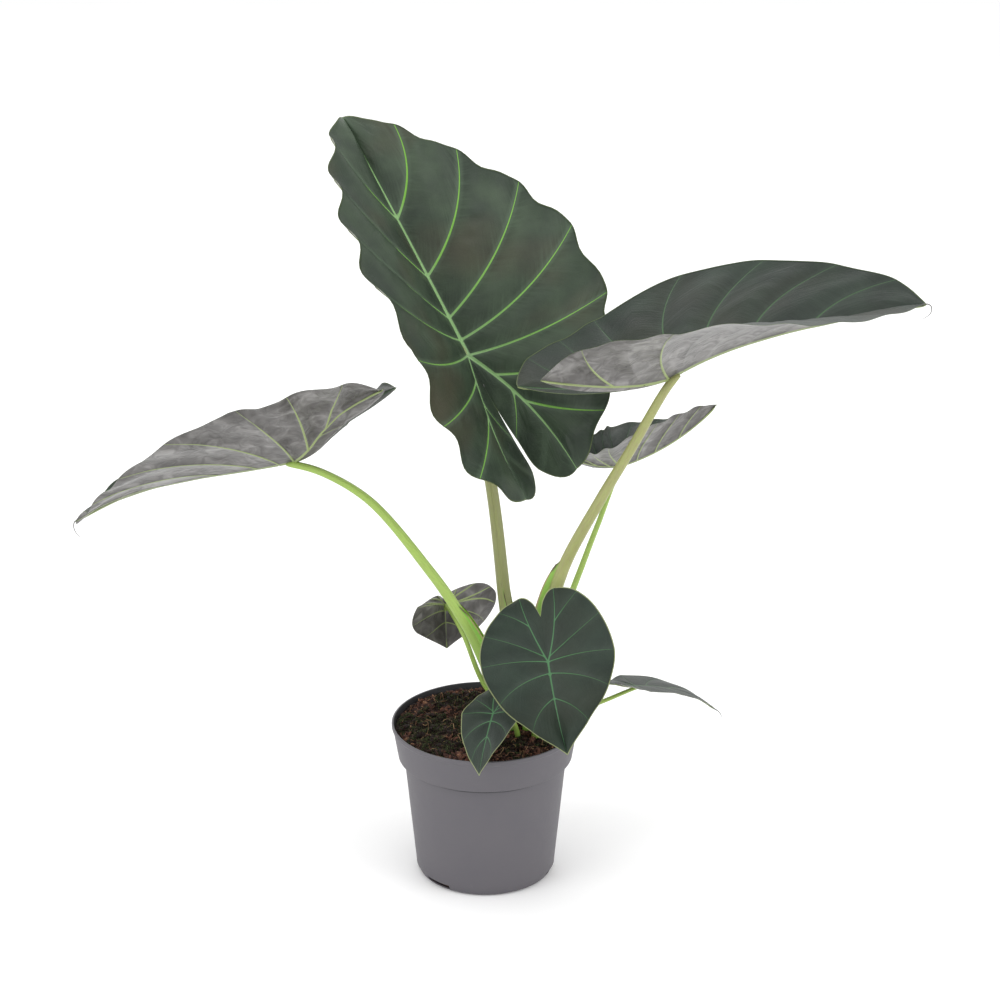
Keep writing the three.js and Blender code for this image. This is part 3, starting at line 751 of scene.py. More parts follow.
@dataclass
class Blade:
    """Leaf blade: two half grids from rib to margin, bent into place, with a thin edge.

    midrib, lobe_rib and side_vein are half widths at a vein's start and end; groove is how
    deep a vein lies in the upper face and rib how far it stands out below, more by rib_foot
    where it starts; the blade thins over edge_taper before its margin, and crumple is the
    height of its fine crumples, each as long and as wide as crumple_cell.
    """

    leaf: LeafShape
    rows_between_veins: int = 16
    cells: int = 44
    thickness: float = 0.7
    midrib: tuple[float, float] = (2.7, 0.5)
    lobe_rib: tuple[float, float] = (1.9, 0.5)
    side_vein: tuple[float, float] = (1.25, 0.3)
    groove: float = 0.45
    rib: float = 0.81
    rib_foot: float = 1.44
    edge_taper: float = 3.0
    crumple: float = 0.5
    crumple_cell: tuple[float, float] = (9.0, 20.0)

    def margin_at(self, u: Array, side: int) -> Array:
        """Margin point at each row value.

        A Catmull-Rom run through the outline's points, drawn in between the veins by
        (0.5 - 0.5 cos(2 pi (u + 0.15)))^1.8.

        Args:
            u: Row values.
            side: 1 for the left half, -1 for the right half.

        Returns:
            One flat point for each row value.
        """
        leaf, outline = self.leaf, self.leaf.outline
        rows = np.array(outline.rows)
        reach = leaf.length * np.where(rows[:, 1] < 0, leaf.lobe, 1)
        points = np.stack([rows[:, 1] * reach, rows[:, 2] * leaf.width], 1)
        beyond = points[0] + leaf.blunt * (points[1] * np.array([1, -1]) - points[0])
        line = np.vstack([beyond, points, points[-1:]])
        i = np.clip(np.floor(u).astype(int), 0, len(points) - 2)
        f = (u - i)[:, None]
        p0, p1, p2, p3 = (line[i + k] for k in range(4))
        m1, m2 = (p2 - p0) / 2, (p3 - p1) / 2
        edge = ((2 * f**3 - 3 * f**2 + 1) * p1 + (f**3 - 2 * f**2 + f) * m1
                + (3 * f**2 - 2 * f**3) * p2 + (f**3 - f**2) * m2)
        notch = (0.5 - 0.5 * np.cos(2 * np.pi * (u + 0.15))) ** 1.8
        notch = notch * np.clip(u, 0, 1) * np.clip((outline.end - u) / 4, 0, 1)
        depth = leaf.scallop[0 if side > 0 else 1] * leaf.width * notch
        edge = edge * (1 - depth / np.maximum(np.linalg.norm(edge, axis=1), 1))[:, None]
        start = self.rib_point(u)
        return np.where((u >= outline.end)[:, None], start + leaf.inner * (edge - start), edge)

    def rib_share(self, u: Array) -> Array:
        """Share of the rib's length where the vein at each row value starts."""
        share = [row[0] for row in self.leaf.outline.rows]
        return np.interp(u, np.arange(len(share)), share)

    def rib_point(self, u: Array) -> Array:
        """Start of each row: on the midrib, or on the bowed rib of the lobe."""
        leaf, outline = self.leaf, self.leaf.outline
        s = self.rib_share(u)[:, None]
        tip = np.array([outline.lobe[0] * leaf.length * leaf.lobe, outline.lobe[1] * leaf.width])
        bend = np.array([tip[0] / 2 + 2 * outline.bow * tip[1],
                         tip[1] / 2 - 2 * outline.bow * tip[0]])
        lobe = 2 * s * (1 - s) * bend + s * s * tip
        return np.where((u >= outline.root)[:, None], lobe, s * np.array([leaf.length, 0.0]))

    def flat(self, u: Array, v: Array, side: int = 1) -> Array:
        """Flat half-blade points.

        Args:
            u: Row values, one for each row.
            v: Shares of the way from rib to margin, one for each column.
            side: 1 for the left half, -1 for the right half.

        Returns:
            Points, rows by columns by 2: a straight run from rib to margin, bowed sideways.
        """
        rows = self.leaf.outline.rows
        start, edge = self.rib_point(u), self.margin_at(u, side)
        bow = np.interp(u, np.arange(len(rows)), [row[3] for row in rows])
        span = edge - start
        lean = bow[:, None] * 4 * v * (1 - v)
        x = start[:, :1] + span[:, :1] * v - np.abs(span[:, 1:]) * lean
        y = start[:, 1:] + span[:, 1:] * v + np.sign(span[:, 1:] + 1e-9) * span[:, :1] * lean
        return np.stack([x, y], -1)

    def axes(self) -> tuple[Array, Array, Array]:
        """Directions of the midrib, the blade's left and its upper face at the petiole."""
        h, r, roll = np.radians([self.leaf.heading, self.leaf.rise, self.leaf.roll])
        midrib = np.array([np.cos(r) * np.cos(h), np.cos(r) * np.sin(h), np.sin(r)])
        flat_up = np.array([-np.sin(r) * np.cos(h), -np.sin(r) * np.sin(h), np.cos(r)])
        flat_left = np.cross(flat_up, midrib)
        leftward = flat_left * np.cos(roll) + flat_up * np.sin(roll)
        upward = flat_up * np.cos(roll) - flat_left * np.sin(roll)
        return midrib, leftward, upward

    def place(self, flat: Array, side: int, lift: Array) -> Array:
        """Bend flat points into their place in the plant.

        Each half is folded up about the rib, the fold growing by the curl toward the margin;
        then the blade is wrung about the midrib, bent down along its length and in plan.

        Args:
            flat: Flat points, along and across.
            side: 1 for the left half, -1 for the right half.
            lift: Height of each point over the flat blade.

        Returns:
            Points in millimetres.
        """
        leaf = self.leaf
        half = 0 if side > 0 else 1
        x, y = flat[..., 0], flat[..., 1]
        lobe_length = leaf.length * 0.54 * leaf.lobe
        to_tip = np.clip(x / leaf.length, 0, 1)
        to_lobe = np.clip(-x / lobe_length, 0, 1.2)
        fold = leaf.fold[half] + leaf.tip[half] * to_tip + leaf.back[half] * to_lobe
        angle = lambda g: np.radians(fold + leaf.curl[half] * y * g / leaf.width)
        mean = lambda f: sum(w * f(g) for g, w in GAUSS)
        across = side * (mean(lambda g: np.cos(angle(g))) * y - lift * np.sin(angle(1)))
        up = mean(lambda g: np.sin(angle(g))) * y + lift * np.cos(angle(1))
        wring = np.radians(np.where(x >= 0, leaf.twist * to_tip, leaf.lobe_twist * to_lobe))
        across, up = (across * np.cos(wring) - up * np.sin(wring),
                      across * np.sin(wring) + up * np.cos(wring))

        def bend(d: Array) -> Array:
            """Angle that the blade has bent down by at a distance along it."""
            share = d / leaf.length
            ahead = (leaf.droop * share + leaf.hook * np.clip(share - 0.6, 0, 1) / 0.4
                     + leaf.crook[0] * np.clip(share / 0.3, 0, 1))
            share = d / lobe_length
            behind = leaf.lobe_droop * share + leaf.crook[1] * np.clip(share / 0.3, -1, 0)
            return np.radians(np.where(x >= 0, ahead, behind))

        along = x * mean(lambda g: np.cos(bend(x * g))) + up * np.sin(bend(x))
        height = -x * mean(lambda g: np.sin(bend(x * g))) + up * np.cos(bend(x))
        turned = np.radians(np.where(along >= 0, leaf.side * along / leaf.length,
                                     leaf.lobe_side * along / lobe_length))
        forward = along * np.sinc(turned / np.pi) - across * np.sin(turned)
        left = along * turned * np.sinc(turned / 2 / np.pi) ** 2 / 2 + across * np.cos(turned)
        midrib, leftward, upward = self.axes()
        return (np.array(leaf.attach) + forward[..., None] * midrib
                + left[..., None] * leftward + height[..., None] * upward)

    def row_values(self) -> Array:
        """Row values from tip to lobe end and back; rows crowd beside each vein."""
        outline = self.leaf.outline
        share = (1 - np.cos(np.pi * np.arange(self.rows_between_veins)
                            / self.rows_between_veins)) / 2
        outer = np.concatenate([(np.arange(outline.end)[:, None] + share).ravel(), [outline.end]])
        back = outer[(outer >= outline.root) & (outer < outline.end)][::-1]
        starts = [row[0] for row in outline.rows[outline.end:]]
        inner = np.interp(-self.rib_share(back), -np.array(starts),
                          np.arange(outline.end, len(outline.rows)))
        return np.concatenate([outer, inner])

    def vein_lines(self, side: int) -> tuple[Array, Array, Array]:
        """Samples of every vein: points, unit directions and half widths."""
        leaf, outline = self.leaf, self.leaf.outline
        v = np.linspace(0, 1, 72)
        taper = lambda ends, share: ends[0] + (ends[1] - ends[0]) * share
        shown = np.array(leaf.near_veins if side < 0 and leaf.near_veins else outline.veins)
        side_veins = self.flat(shown.astype(float), v, side)
        thin = np.where(shown > outline.end, 0.6, 1.0)
        midrib = np.stack([v * leaf.length, 0 * v], -1)[None]
        lobe_rows = np.interp(v, [row[0] for row in outline.rows[outline.root:outline.end + 1]],
                              np.arange(outline.root, outline.end + 1))
        lobe_rib = self.rib_point(lobe_rows)[None]
        lines = np.concatenate([midrib, lobe_rib, side_veins])
        half = np.concatenate([[taper(self.midrib, v**0.8)], [taper(self.lobe_rib, v)],
                               thin[:, None] * taper(self.side_vein, v)])
        return lines, unit(np.gradient(lines, axis=1)), leaf.vein_scale * half

    def vein_fields(self, flat: Array, side: int) -> tuple[Array, Array]:
        """How far each flat point is from the nearest vein.

        The nearest sample of any vein is found in half widths; the distance is then taken
        square to the vein's direction there.

        Args:
            flat: Flat points, rows by columns by 2.
            side: 1 for the left half, -1 for the right half.

        Returns:
            Distance in half widths of the vein, and in millimetres.
        """
        lines, ways, half = self.vein_lines(side)
        dots, ways, half = lines.reshape(-1, 2), ways.reshape(-1, 2), half.ravel()
        points = flat.reshape(-1, 2)
        share = np.empty(len(points))
        gap = np.empty(len(points))
        for part in np.array_split(np.arange(len(points)), 1 + len(points) // 2000):
            to = points[part, None, :] - dots[None]
            near = np.argmin(np.hypot(to[..., 0], to[..., 1]) / half, axis=1)
            to, way = to[np.arange(len(part)), near], ways[near]
            off = np.abs(to[:, 0] * way[:, 1] - to[:, 1] * way[:, 0])
            past = np.maximum(np.abs((to * way).sum(1)) - 2.0, 0)
            gap[part] = np.hypot(off, past)
            share[part] = gap[part] / half[near]
        return share.reshape(flat.shape[:2]), gap.reshape(flat.shape[:2])

    def half(self, u: Array, v: Array, side: int) -> tuple[Array, dict[str, Array]]:
        """One half of the upper face, before its vein grooves are cut.

        The blade is puffed up between veins, waved at the margin and finely crumpled.

        Args:
            u: Row values.
            v: Shares of the way from rib to margin.
            side: 1 for the left half, -1 for the right half.

        Returns:
            Points in millimetres, and the fields that the shaders read.
        """
        leaf, outline = self.leaf, self.leaf.outline
        flat = self.flat(u, v, side)
        share, gap = self.vein_fields(flat, side)
        f = (u - np.floor(u))[:, None]
        run = np.linalg.norm(flat[:, -1] - flat[:, 0], axis=1)[:, None]
        below, above = np.floor(u), np.minimum(np.floor(u) + 1, len(outline.rows) - 1)
        spacing = np.linalg.norm(self.flat(above, v, side) - self.flat(below, v, side), axis=-1)
        puffed = leaf.puff * 4 * f * (1 - f) * np.sin(np.pi * np.minimum(v * 1.1, 1))
        waved = leaf.ruffle * np.sin(2 * np.pi * f) * v**3 * np.clip(u, 0, 1)[:, None]
        lift = np.where((u < outline.end)[:, None], puffed + waved, 0)
        barb = v * run - 0.8 * spacing * np.minimum(f, 1 - f)
        long, wide = self.crumple_cell
        crumple = lattice_noise(barb / long, below[:, None] * 7 + f * spacing / wide, 5 + side)
        fade = np.clip((len(outline.rows) - 1 - u)[:, None], 0, 1)
        lift = lift + (self.crumple * crumple * fade * (leaf.puff / 3) * np.sin(np.pi * f)
                       * np.sin(np.pi * v) ** 0.5)
        cell = below[:, None] * 13.0
        weave = np.stack([barb, cell + f * spacing, cell + 40 * side + 0 * v], -1)
        heart = np.exp(-np.linalg.norm(flat, axis=-1) / (0.22 * leaf.length))
        heart = np.maximum(heart, np.exp(-((v * run) / 14) ** 2) * 0.8)
        fields = {"ridge": share, "near": gap, "heart": heart, "margin": (1 - v) * run,
                  "from_rib": v * run, "open": 1 - v + 0 * run, "weave": weave}
        return self.place(flat, side, lift), fields

    def skin(self) -> Skin:
        """Build both faces and the edge of the blade.

        The under face is the upper one set off by the thickness along the normals, and
        thickened at each vein into a rounded rib.
        """
        u, v = self.row_values(), np.linspace(0, 1, self.cells + 1)
        sides = (1, -1)
        halves = [self.half(u, v, side) for side in sides]
        points = np.stack([place for place, _ in halves]).reshape(-1, 3)
        _, first, index = np.unique(np.round(points, 3), axis=0, return_index=True,
                                    return_inverse=True)
        index = index.reshape(2, len(u), len(v))
        points = points[first]
        values = {}
        for key, value in halves[0][1].items():
            both = np.stack([value, halves[1][1][key]])
            values[key] = both.reshape(-1, *value.shape[2:])[first]
        upper = np.concatenate([grid_faces(index[0]), grid_faces(index[1])[:, ::-1]])
        normals = vertex_normals(points, upper)
        scale = self.leaf.vein_scale
        share, from_rib, open_share = (values.pop(key) if key != "ridge" else values[key]
                                       for key in ("ridge", "from_rib", "open"))
        fade = np.clip(values["margin"] / self.edge_taper, 0, 1)
        groove = -self.groove * scale * np.exp(-share**2) * open_share**0.5 * fade
        rib = scale * (self.rib + self.rib_foot * np.exp(-from_rib / 6)) * np.sqrt(
            np.clip(1 - (share / 1.25) ** 2, 0, 1)) * np.clip(0.25 + fade, 0, 1)
        top = points + normals * groove[:, None]
        depth = self.thickness * (0.35 + 0.65 * fade) + rib
        under = points - normals * depth[:, None]
        count = len(points)
        walls = []
        for side, grid in zip(sides, index):
            ring = grid[:, -1]
            walls.append(grid_faces(np.stack([ring, ring + count]))[:, ::side])
        wall = np.concatenate(walls)
        lower = upper[:, ::-1] + count
        slots = np.repeat([Face.UPPER.value, Face.UNDER.value, Face.UPPER.value],
                          [len(upper), len(lower), len(wall)])
        values = {key: np.concatenate([value, value]) for key, value in values.items()}
        return Skin(np.concatenate([top, under]), np.concatenate([upper, lower, wall]), slots,
                    values)

    def keel_up(self) -> Array:
        """Upward direction between the two halves where the petiole joins."""
        midrib = self.axes()[0]
        origin = np.array(self.leaf.attach, float)
        point = np.array([[0.0, 1.0]])
        left, right = (self.place(point, side, np.zeros(1))[0] - origin for side in (1, -1))
        return unit(-np.cross(left, midrib) + np.cross(right, midrib))

    def tip_strand(self) -> Skin | None:
        """Drip tip: a thin tapered thread that carries on from the blade's point."""
        if not self.leaf.drip:
            return None
        v = np.array([0.0])
        end = self.place(self.flat(np.array([0.0]), v), 1, np.zeros((1, 1)))[0, 0]
        inner = self.place(np.array([[self.leaf.length - 6.0, 0.0]]), 1, np.zeros(1))[0]
        knots = np.array([inner, end, *(end + np.array(step) for step in self.leaf.drip)], float)
        centre, _ = sample_path(knots, 18)
        radius = np.linspace(0.75, 0.22, len(centre))
        return sweep(hoops(centre, radius, 8, (0.31, 0.87, 0.38)), {})

    def build(self, finishes: list[bpy.types.Material]) -> bpy.types.Object:
        """Make the blade's piece."""
        skin = self.skin()
        strand = self.tip_strand()
        if strand is not None:
            strand.slots = np.full(len(strand.faces), Face.UNDER.value)
            strand.values = {"ridge": np.full(len(strand.points), 5.0)}
            skin = skin.join(strand)
        return skin.piece(f"leaf_{self.leaf.name}", finishes, (f"blade_{self.leaf.name}",),
                          "blade")


# ---------------------------------------------------------------- stems


def sample_path(knots: Array, count: int) -> tuple[Array, Array]:
    """Centripetal Catmull-Rom curve through the knots, at even steps of length.

    Args:
        knots: Points that the curve runs through.
        count: How many points to give back.

    Returns:
        Points and unit tangents.
    """
    ends = [2 * knots[0] - knots[1], 2 * knots[-1] - knots[-2]]
    line = np.vstack([ends[:1], knots, ends[1:]])
    gap = np.sqrt(np.linalg.norm(np.diff(line, axis=0), axis=1))
    t = np.linspace(0, 1, 120, endpoint=False)[:, None]
    runs = []
    for k in range(1, len(line) - 2):
        x0, x1, x2, x3 = line[k - 1:k + 3]
        d0, d1, d2 = gap[k - 1:k + 2]
        m1 = ((x1 - x0) / d0 - (x2 - x0) / (d0 + d1) + (x2 - x1) / d1) * d1
        m2 = ((x2 - x1) / d1 - (x3 - x1) / (d1 + d2) + (x3 - x2) / d2) * d1
        runs.append(x1 + m1 * t + (-3 * x1 + 3 * x2 - 2 * m1 - m2) * t**2
                    + (2 * x1 - 2 * x2 + m1 + m2) * t**3)
    dense = np.vstack([*runs, knots[-1:]])
    length = np.concatenate([[0], np.cumsum(np.linalg.norm(np.diff(dense, axis=0), axis=1))])
    at = np.linspace(0, length[-1], count)
    points = np.stack([np.interp(at, length, dense[:, k]) for k in range(3)], 1)
    return points, unit(np.gradient(points, axis=0))


@dataclass
class Petiole:
    """Petiole: a tapered stem whose foot carries the two thin wings of its sheath."""

    leaf: LeafShape
    ring: float = 22.0
    buried: float = 36.0
    steps: int = 150
    wing_angle: float = 48.0
    wing_edge: float = 1.1
    merge: float = 2.6

    def path(self) -> tuple[Array, Array]:
        """Course from the buried foot to where the stem has thinned into the midrib."""
        leaf = self.leaf
        azimuth = math.radians(leaf.azimuth)
        x = PLANT_X + self.ring * math.cos(azimuth)
        y = PLANT_Y + self.ring * math.sin(azimuth)
        thin = leaf.petiole[1]
        skin = 0.8 * thin / FULL_STEM
        blade = Blade(leaf)
        upward, join = blade.keel_up(), np.array(leaf.attach, float)
        sink = (0.9, 0.4) if leaf.habit is Habit.ADULT else (1.3, 0.8)
        ahead = blade.place(np.array([[self.merge * thin, 0.0]]), 1, np.zeros(1))[0]
        under = join - upward * (skin + sink[0] * thin)
        merge = ahead - upward * (skin + sink[1] * thin)
        knots = [(x, y, STEM_FOOT), (x, y, STEM_FOOT + self.buried), *leaf.route, under, merge]
        return sample_path(np.array(knots), self.steps)

    def section(self, wing: Array, groove: Array, thick: Array) -> tuple[Array, Array]:
        """Cross-section in stem radii: a round back, a groove in front and two wings.

        The wing leaves the stem at the wing angle and curls in toward the groove.

        Args:
            wing: Reach of the wings in radii, for each step.
            groove: Depth of the groove in radii, for each step.
            thick: Thickness of the wings in radii, for each step.

        Returns:
            Points, steps by section points by 2, and how far out on the wing each one is.
        """
        a0 = math.radians(self.wing_angle)
        back = np.linspace(a0, 2 * np.pi - a0, 27)
        w = np.linspace(0, 1, 7)
        base = np.array([math.cos(a0), math.sin(a0)])
        inward = np.array([math.sin(a0), -math.cos(a0)])
        tip_angle = a0 - 0.35
        reach = wing[:, None, None]
        tip = (1 + reach) * np.array([math.cos(tip_angle), math.sin(tip_angle)])
        tip = np.where(reach > 0, base + (tip - base) * np.clip(reach * 3, 0, 1), base)
        out = base + (tip - base) * w[None, :, None]
        out = out - inward * (0.18 * reach * (4 * w * (1 - w))[None, :, None])
        taper = (1 - 0.6 * w)[None, :, None]
        back_in = out + inward * thick[:, None, None] * taper
        front = np.linspace(1, -1, 9)[1:-1]
        inner_angle = math.atan2(*(base + inward * 0.3)[::-1]) * front
        floor = (1 - groove[:, None] * (1 - front**2)[None])
        valley = np.stack([floor * np.cos(inner_angle), floor * np.sin(inner_angle)], -1)
        stem = np.stack([np.cos(back), np.sin(back)], -1)[None].repeat(len(wing), 0)
        flip = np.array([1.0, -1.0])
        # anticlockwise from the left wing's root over the back to the right wing and home
        ring = np.concatenate([
            stem, (out * flip)[:, 1:], (back_in * flip)[:, ::-1], valley[:, ::-1],
            back_in, out[:, :0:-1],
        ], axis=1)
        on_wing = np.concatenate([0 * back, w[1:], w[::-1], 0 * front, w, w[:0:-1]])
        return ring, on_wing

    def skin(self) -> Skin:
        """Sweep the section along the path, with the groove facing the middle of the plant."""
        leaf = self.leaf
        centre, tangent = self.path()
        t = np.linspace(0, 1, len(centre))
        away = np.array([leaf.attach[0] - centre[0, 0], leaf.attach[1] - centre[0, 1], 0.0])
        inner = np.array([0.0, 0.0, 1.0]) - unit(away)
        inner = unit(inner - tangent * (tangent @ inner)[:, None])
        sideways = np.cross(tangent, inner)
        radius = leaf.petiole[0] + (leaf.petiole[1] - leaf.petiole[0]) * t**0.8
        reach, top = leaf.sheath
        rise = np.clip((centre[:, 2] - SOIL_LINE - 8) / 60, 0, 1)
        fade = np.clip((top - centre[:, 2]) / 55, 0, 1) ** 0.6
        wing = reach * rise * fade
        groove = 0.06 + 0.22 * rise * fade
        ring, on_wing = self.section(wing, groove, self.wing_edge / radius)
        length = np.concatenate([[0], np.cumsum(np.linalg.norm(np.diff(centre, axis=0), axis=1))])
        # the stem thins into the midrib over its last stretch
        last = np.clip((length[-1] - length) / (self.merge * leaf.petiole[1]), 0, 1)
        swell = radius * (1 - 0.5 * (1 - last) ** 1.5)
        points = (centre[:, None] + ring[..., :1] * (inner * swell[:, None])[:, None]
                  + ring[..., 1:] * (sideways * swell[:, None])[:, None])
        around = np.arctan2(ring[..., 1], ring[..., 0])
        on = on_wing[None] * np.clip(wing * 6, 0, 1)[:, None]
        ended = smoothstep(26, 4, top - centre[:, 2])[:, None]
        dried = smoothstep(0.35, 0.8, on * ended * (wing > 0.02)[:, None])
        skin = np.stack([np.cos(around) * 8, np.sin(around) * 8, length[:, None] + 0 * around], -1)
        return sweep(points, {"along": t[:, None] + 0 * around, "wing": on, "dried": dried,
                              "skin": skin})

    def build(self, finish: bpy.types.Material) -> bpy.types.Object:
        """Make the petiole's piece."""
        return self.skin().piece(f"stem_{self.leaf.name}", [finish],
                                 (f"petiole_{self.leaf.name}",), "petiole")


@dataclass
class Shoot:
    """New shoot: a rolled spear in the middle of the petioles, its free edge winding up it."""

    top: float = 196.0
    radius: float = 8.0
    sides: int = 48

    def skin(self) -> Skin:
        """A circle that narrows upward, with a step where the rolled edge ends."""
        z = np.linspace(STEM_FOOT, self.top, 60)[:, None]
        share = (z - SOIL_LINE) / (self.top - SOIL_LINE)
        radius = self.radius * np.clip(1 - np.clip(share, 0, 1) ** 1.6, 0.04, 1)
        angle = circle(self.sides)[None]
        lap = (angle / (2 * np.pi) - share * 0.6) % 1.0
        reach = radius * (0.9 + 0.1 * lap)
        points = np.stack([PLANT_X + reach * np.cos(angle), PLANT_Y + reach * np.sin(angle),
                           z + 0 * angle], -1)
        ends = np.array([[PLANT_X, PLANT_Y, z] for z in (STEM_FOOT, self.top + 0.2)])
        skin = np.stack([np.cos(angle) * 8 + 0 * z, np.sin(angle) * 8 + 0 * z, z + 0 * angle], -1)
        along = np.clip(share, 0, 1) * 0.4 + 0 * angle
        return sweep(points, {"along": along, "skin": skin}, ends)

    def build(self, finish: bpy.types.Material) -> bpy.types.Object:
        """Make the shoot's piece."""
        return self.skin().piece("new_shoot", [finish], ("shoot",), "shoot")


# ---------------------------------------------------------------- pot and soil


@dataclass
class Pot:
    """Nursery pot: a stepped, tapered shell with a thin lip and three drain slots.

    lip_rows is how many profile rows above a slot's inner top the painted shade on the pot's
    inside begins.
    """

    height: float = 164.0
    rim: float = 95.0
    band_foot: float = 88.5
    band_top: float = 128.0
    shoulder: float = 82.0
    shoulder_top: float = 120.0
    foot: float = 71.0
    base: float = 68.0
    wall: float = 2.0
    floor: float = 2.4
    slots: tuple[float, ...] = (-134.5, -14.5, 105.5)
    slot_span: float = 25.0
    slot_low: float = 3.0
    slot_high: float = 7.5
    facets: int = 240
    lip_rows: int = 16

    def corners(self) -> list[tuple[float, float, float]]:
        """Corners of the wall's profile: radius, height and how far each is rounded."""
        w = self.wall
        outer = [
            (0, 0, 0), (self.base - 3, 0, 1), (self.base, 1.5, 1), (68.6, self.slot_low, 0),
            (self.foot, self.slot_high, 0), (self.foot + 0.5, 14, 4),
            (self.shoulder, self.shoulder_top, 2), (self.shoulder + 0.4, self.band_top - 1.5, 0.5),
            (self.band_foot, self.band_top - 0.5, 1.0), (self.rim - 1.4, self.height - 5.5, 1),
            (self.rim, self.height - 4, 0.8), (self.rim, self.height, 0.9),
        ]
        inner = [
            (self.rim - 2, self.height, 0.7), (self.band_foot - w, self.band_top + 1, 2),
            (self.shoulder - w, self.shoulder_top + 1, 2), (self.foot - w, self.slot_high, 0),
            (self.base - w + 0.2, self.slot_low, 0), (self.base - w - 1, self.floor, 0.4),
            (0, self.floor, 0),
        ]
        return outer + inner

    def profile(self) -> tuple[Array, list[int]]:
        """Rounded profile, and the rows of the four slot corners.

        A corner is replaced by a parabola between the points where its rounding starts.
        """
        corners = self.corners()
        points: list[Array] = []
        marks = []
        for k, (r, z, size) in enumerate(corners):
            here = np.array([r, z], float)
            if size == 0:
                if z in (self.slot_low, self.slot_high):
                    marks.append(len(points))
                points.append(here)
                continue
            before = np.array(corners[k - 1][:2]) - here
            after = np.array(corners[k + 1][:2]) - here
            cut = [min(size, 0.45 * np.linalg.norm(side)) for side in (before, after)]
            start, end = here + unit(before) * cut[0], here + unit(after) * cut[1]
            for t in np.linspace(0, 1, 6):
                points.append((1 - t) ** 2 * start + 2 * t * (1 - t) * here + t**2 * end)
        return np.array(points), marks

    def skin(self) -> Skin:
        """Turn the profile about the upright axis, leaving out and lining the slots."""
        profile, (out_low, out_high, in_high, in_low) = self.profile()
        angle = circle(self.facets)
        radius, height = profile[1:-1, :1], profile[1:-1, 1:]
        points = np.stack([radius * np.cos(angle), radius * np.sin(angle),
                           height + 0 * angle], -1)
        index = np.arange(points.size // 3).reshape(points.shape[:2])
        ends = np.array([[0, 0, profile[0, 1]], [0, 0, profile[-1, 1]]])
        nxt = np.roll(np.arange(self.facets), -1)
        middle = np.degrees(angle + np.pi / self.facets)
        open_at = np.zeros(self.facets, bool)
        for slot in self.slots:
            open_at |= np.abs((middle - slot + 180) % 360 - 180) < self.slot_span / 2
        rows = [k - 1 for k in (out_low, out_high, in_high, in_low)]
        strip = lambda one, two, keep: quads(one[keep], one[nxt][keep], two[nxt][keep], two[keep])
        faces = [strip(index[k], index[k + 1], ~open_at if k in rows[::2] else slice(None))
                 for k in range(len(index) - 1)]
        low_out, high_out, high_in, low_in = (index[k] for k in rows)
        faces += [strip(low_in, low_out, open_at), strip(high_out, high_in, open_at)]
        starts = np.flatnonzero(open_at & ~np.roll(open_at, 1))
        stops = np.flatnonzero(~open_at & np.roll(open_at, 1))
        for cut, order in ((starts, 1), (stops, -1)):
            faces.append(quads(low_out[cut], high_out[cut], high_in[cut], low_in[cut])[:, ::order])
        faces.append(end_fans(index))
        # inner marks the inside, from just below the lip down to the floor, for the painted shade
        inner = np.zeros(index.shape)
        inner[rows[2] - self.lip_rows:] = 1.0
        inner = np.concatenate([inner.ravel(), [0.0, 1.0]])
        return Skin(np.vstack([points.reshape(-1, 3), ends]), np.concatenate(faces), None,
                    {"inner": inner})

    def build(self, finish: bpy.types.Material) -> bpy.types.Object:
        """Make the pot's piece, shaded crisp where its profile turns by over 40 degrees."""
        thing = self.skin().piece("pot_shell", [finish], ("pot",), "pot")
        thing.data.set_sharp_from_angle(angle=math.radians(40))
        return thing


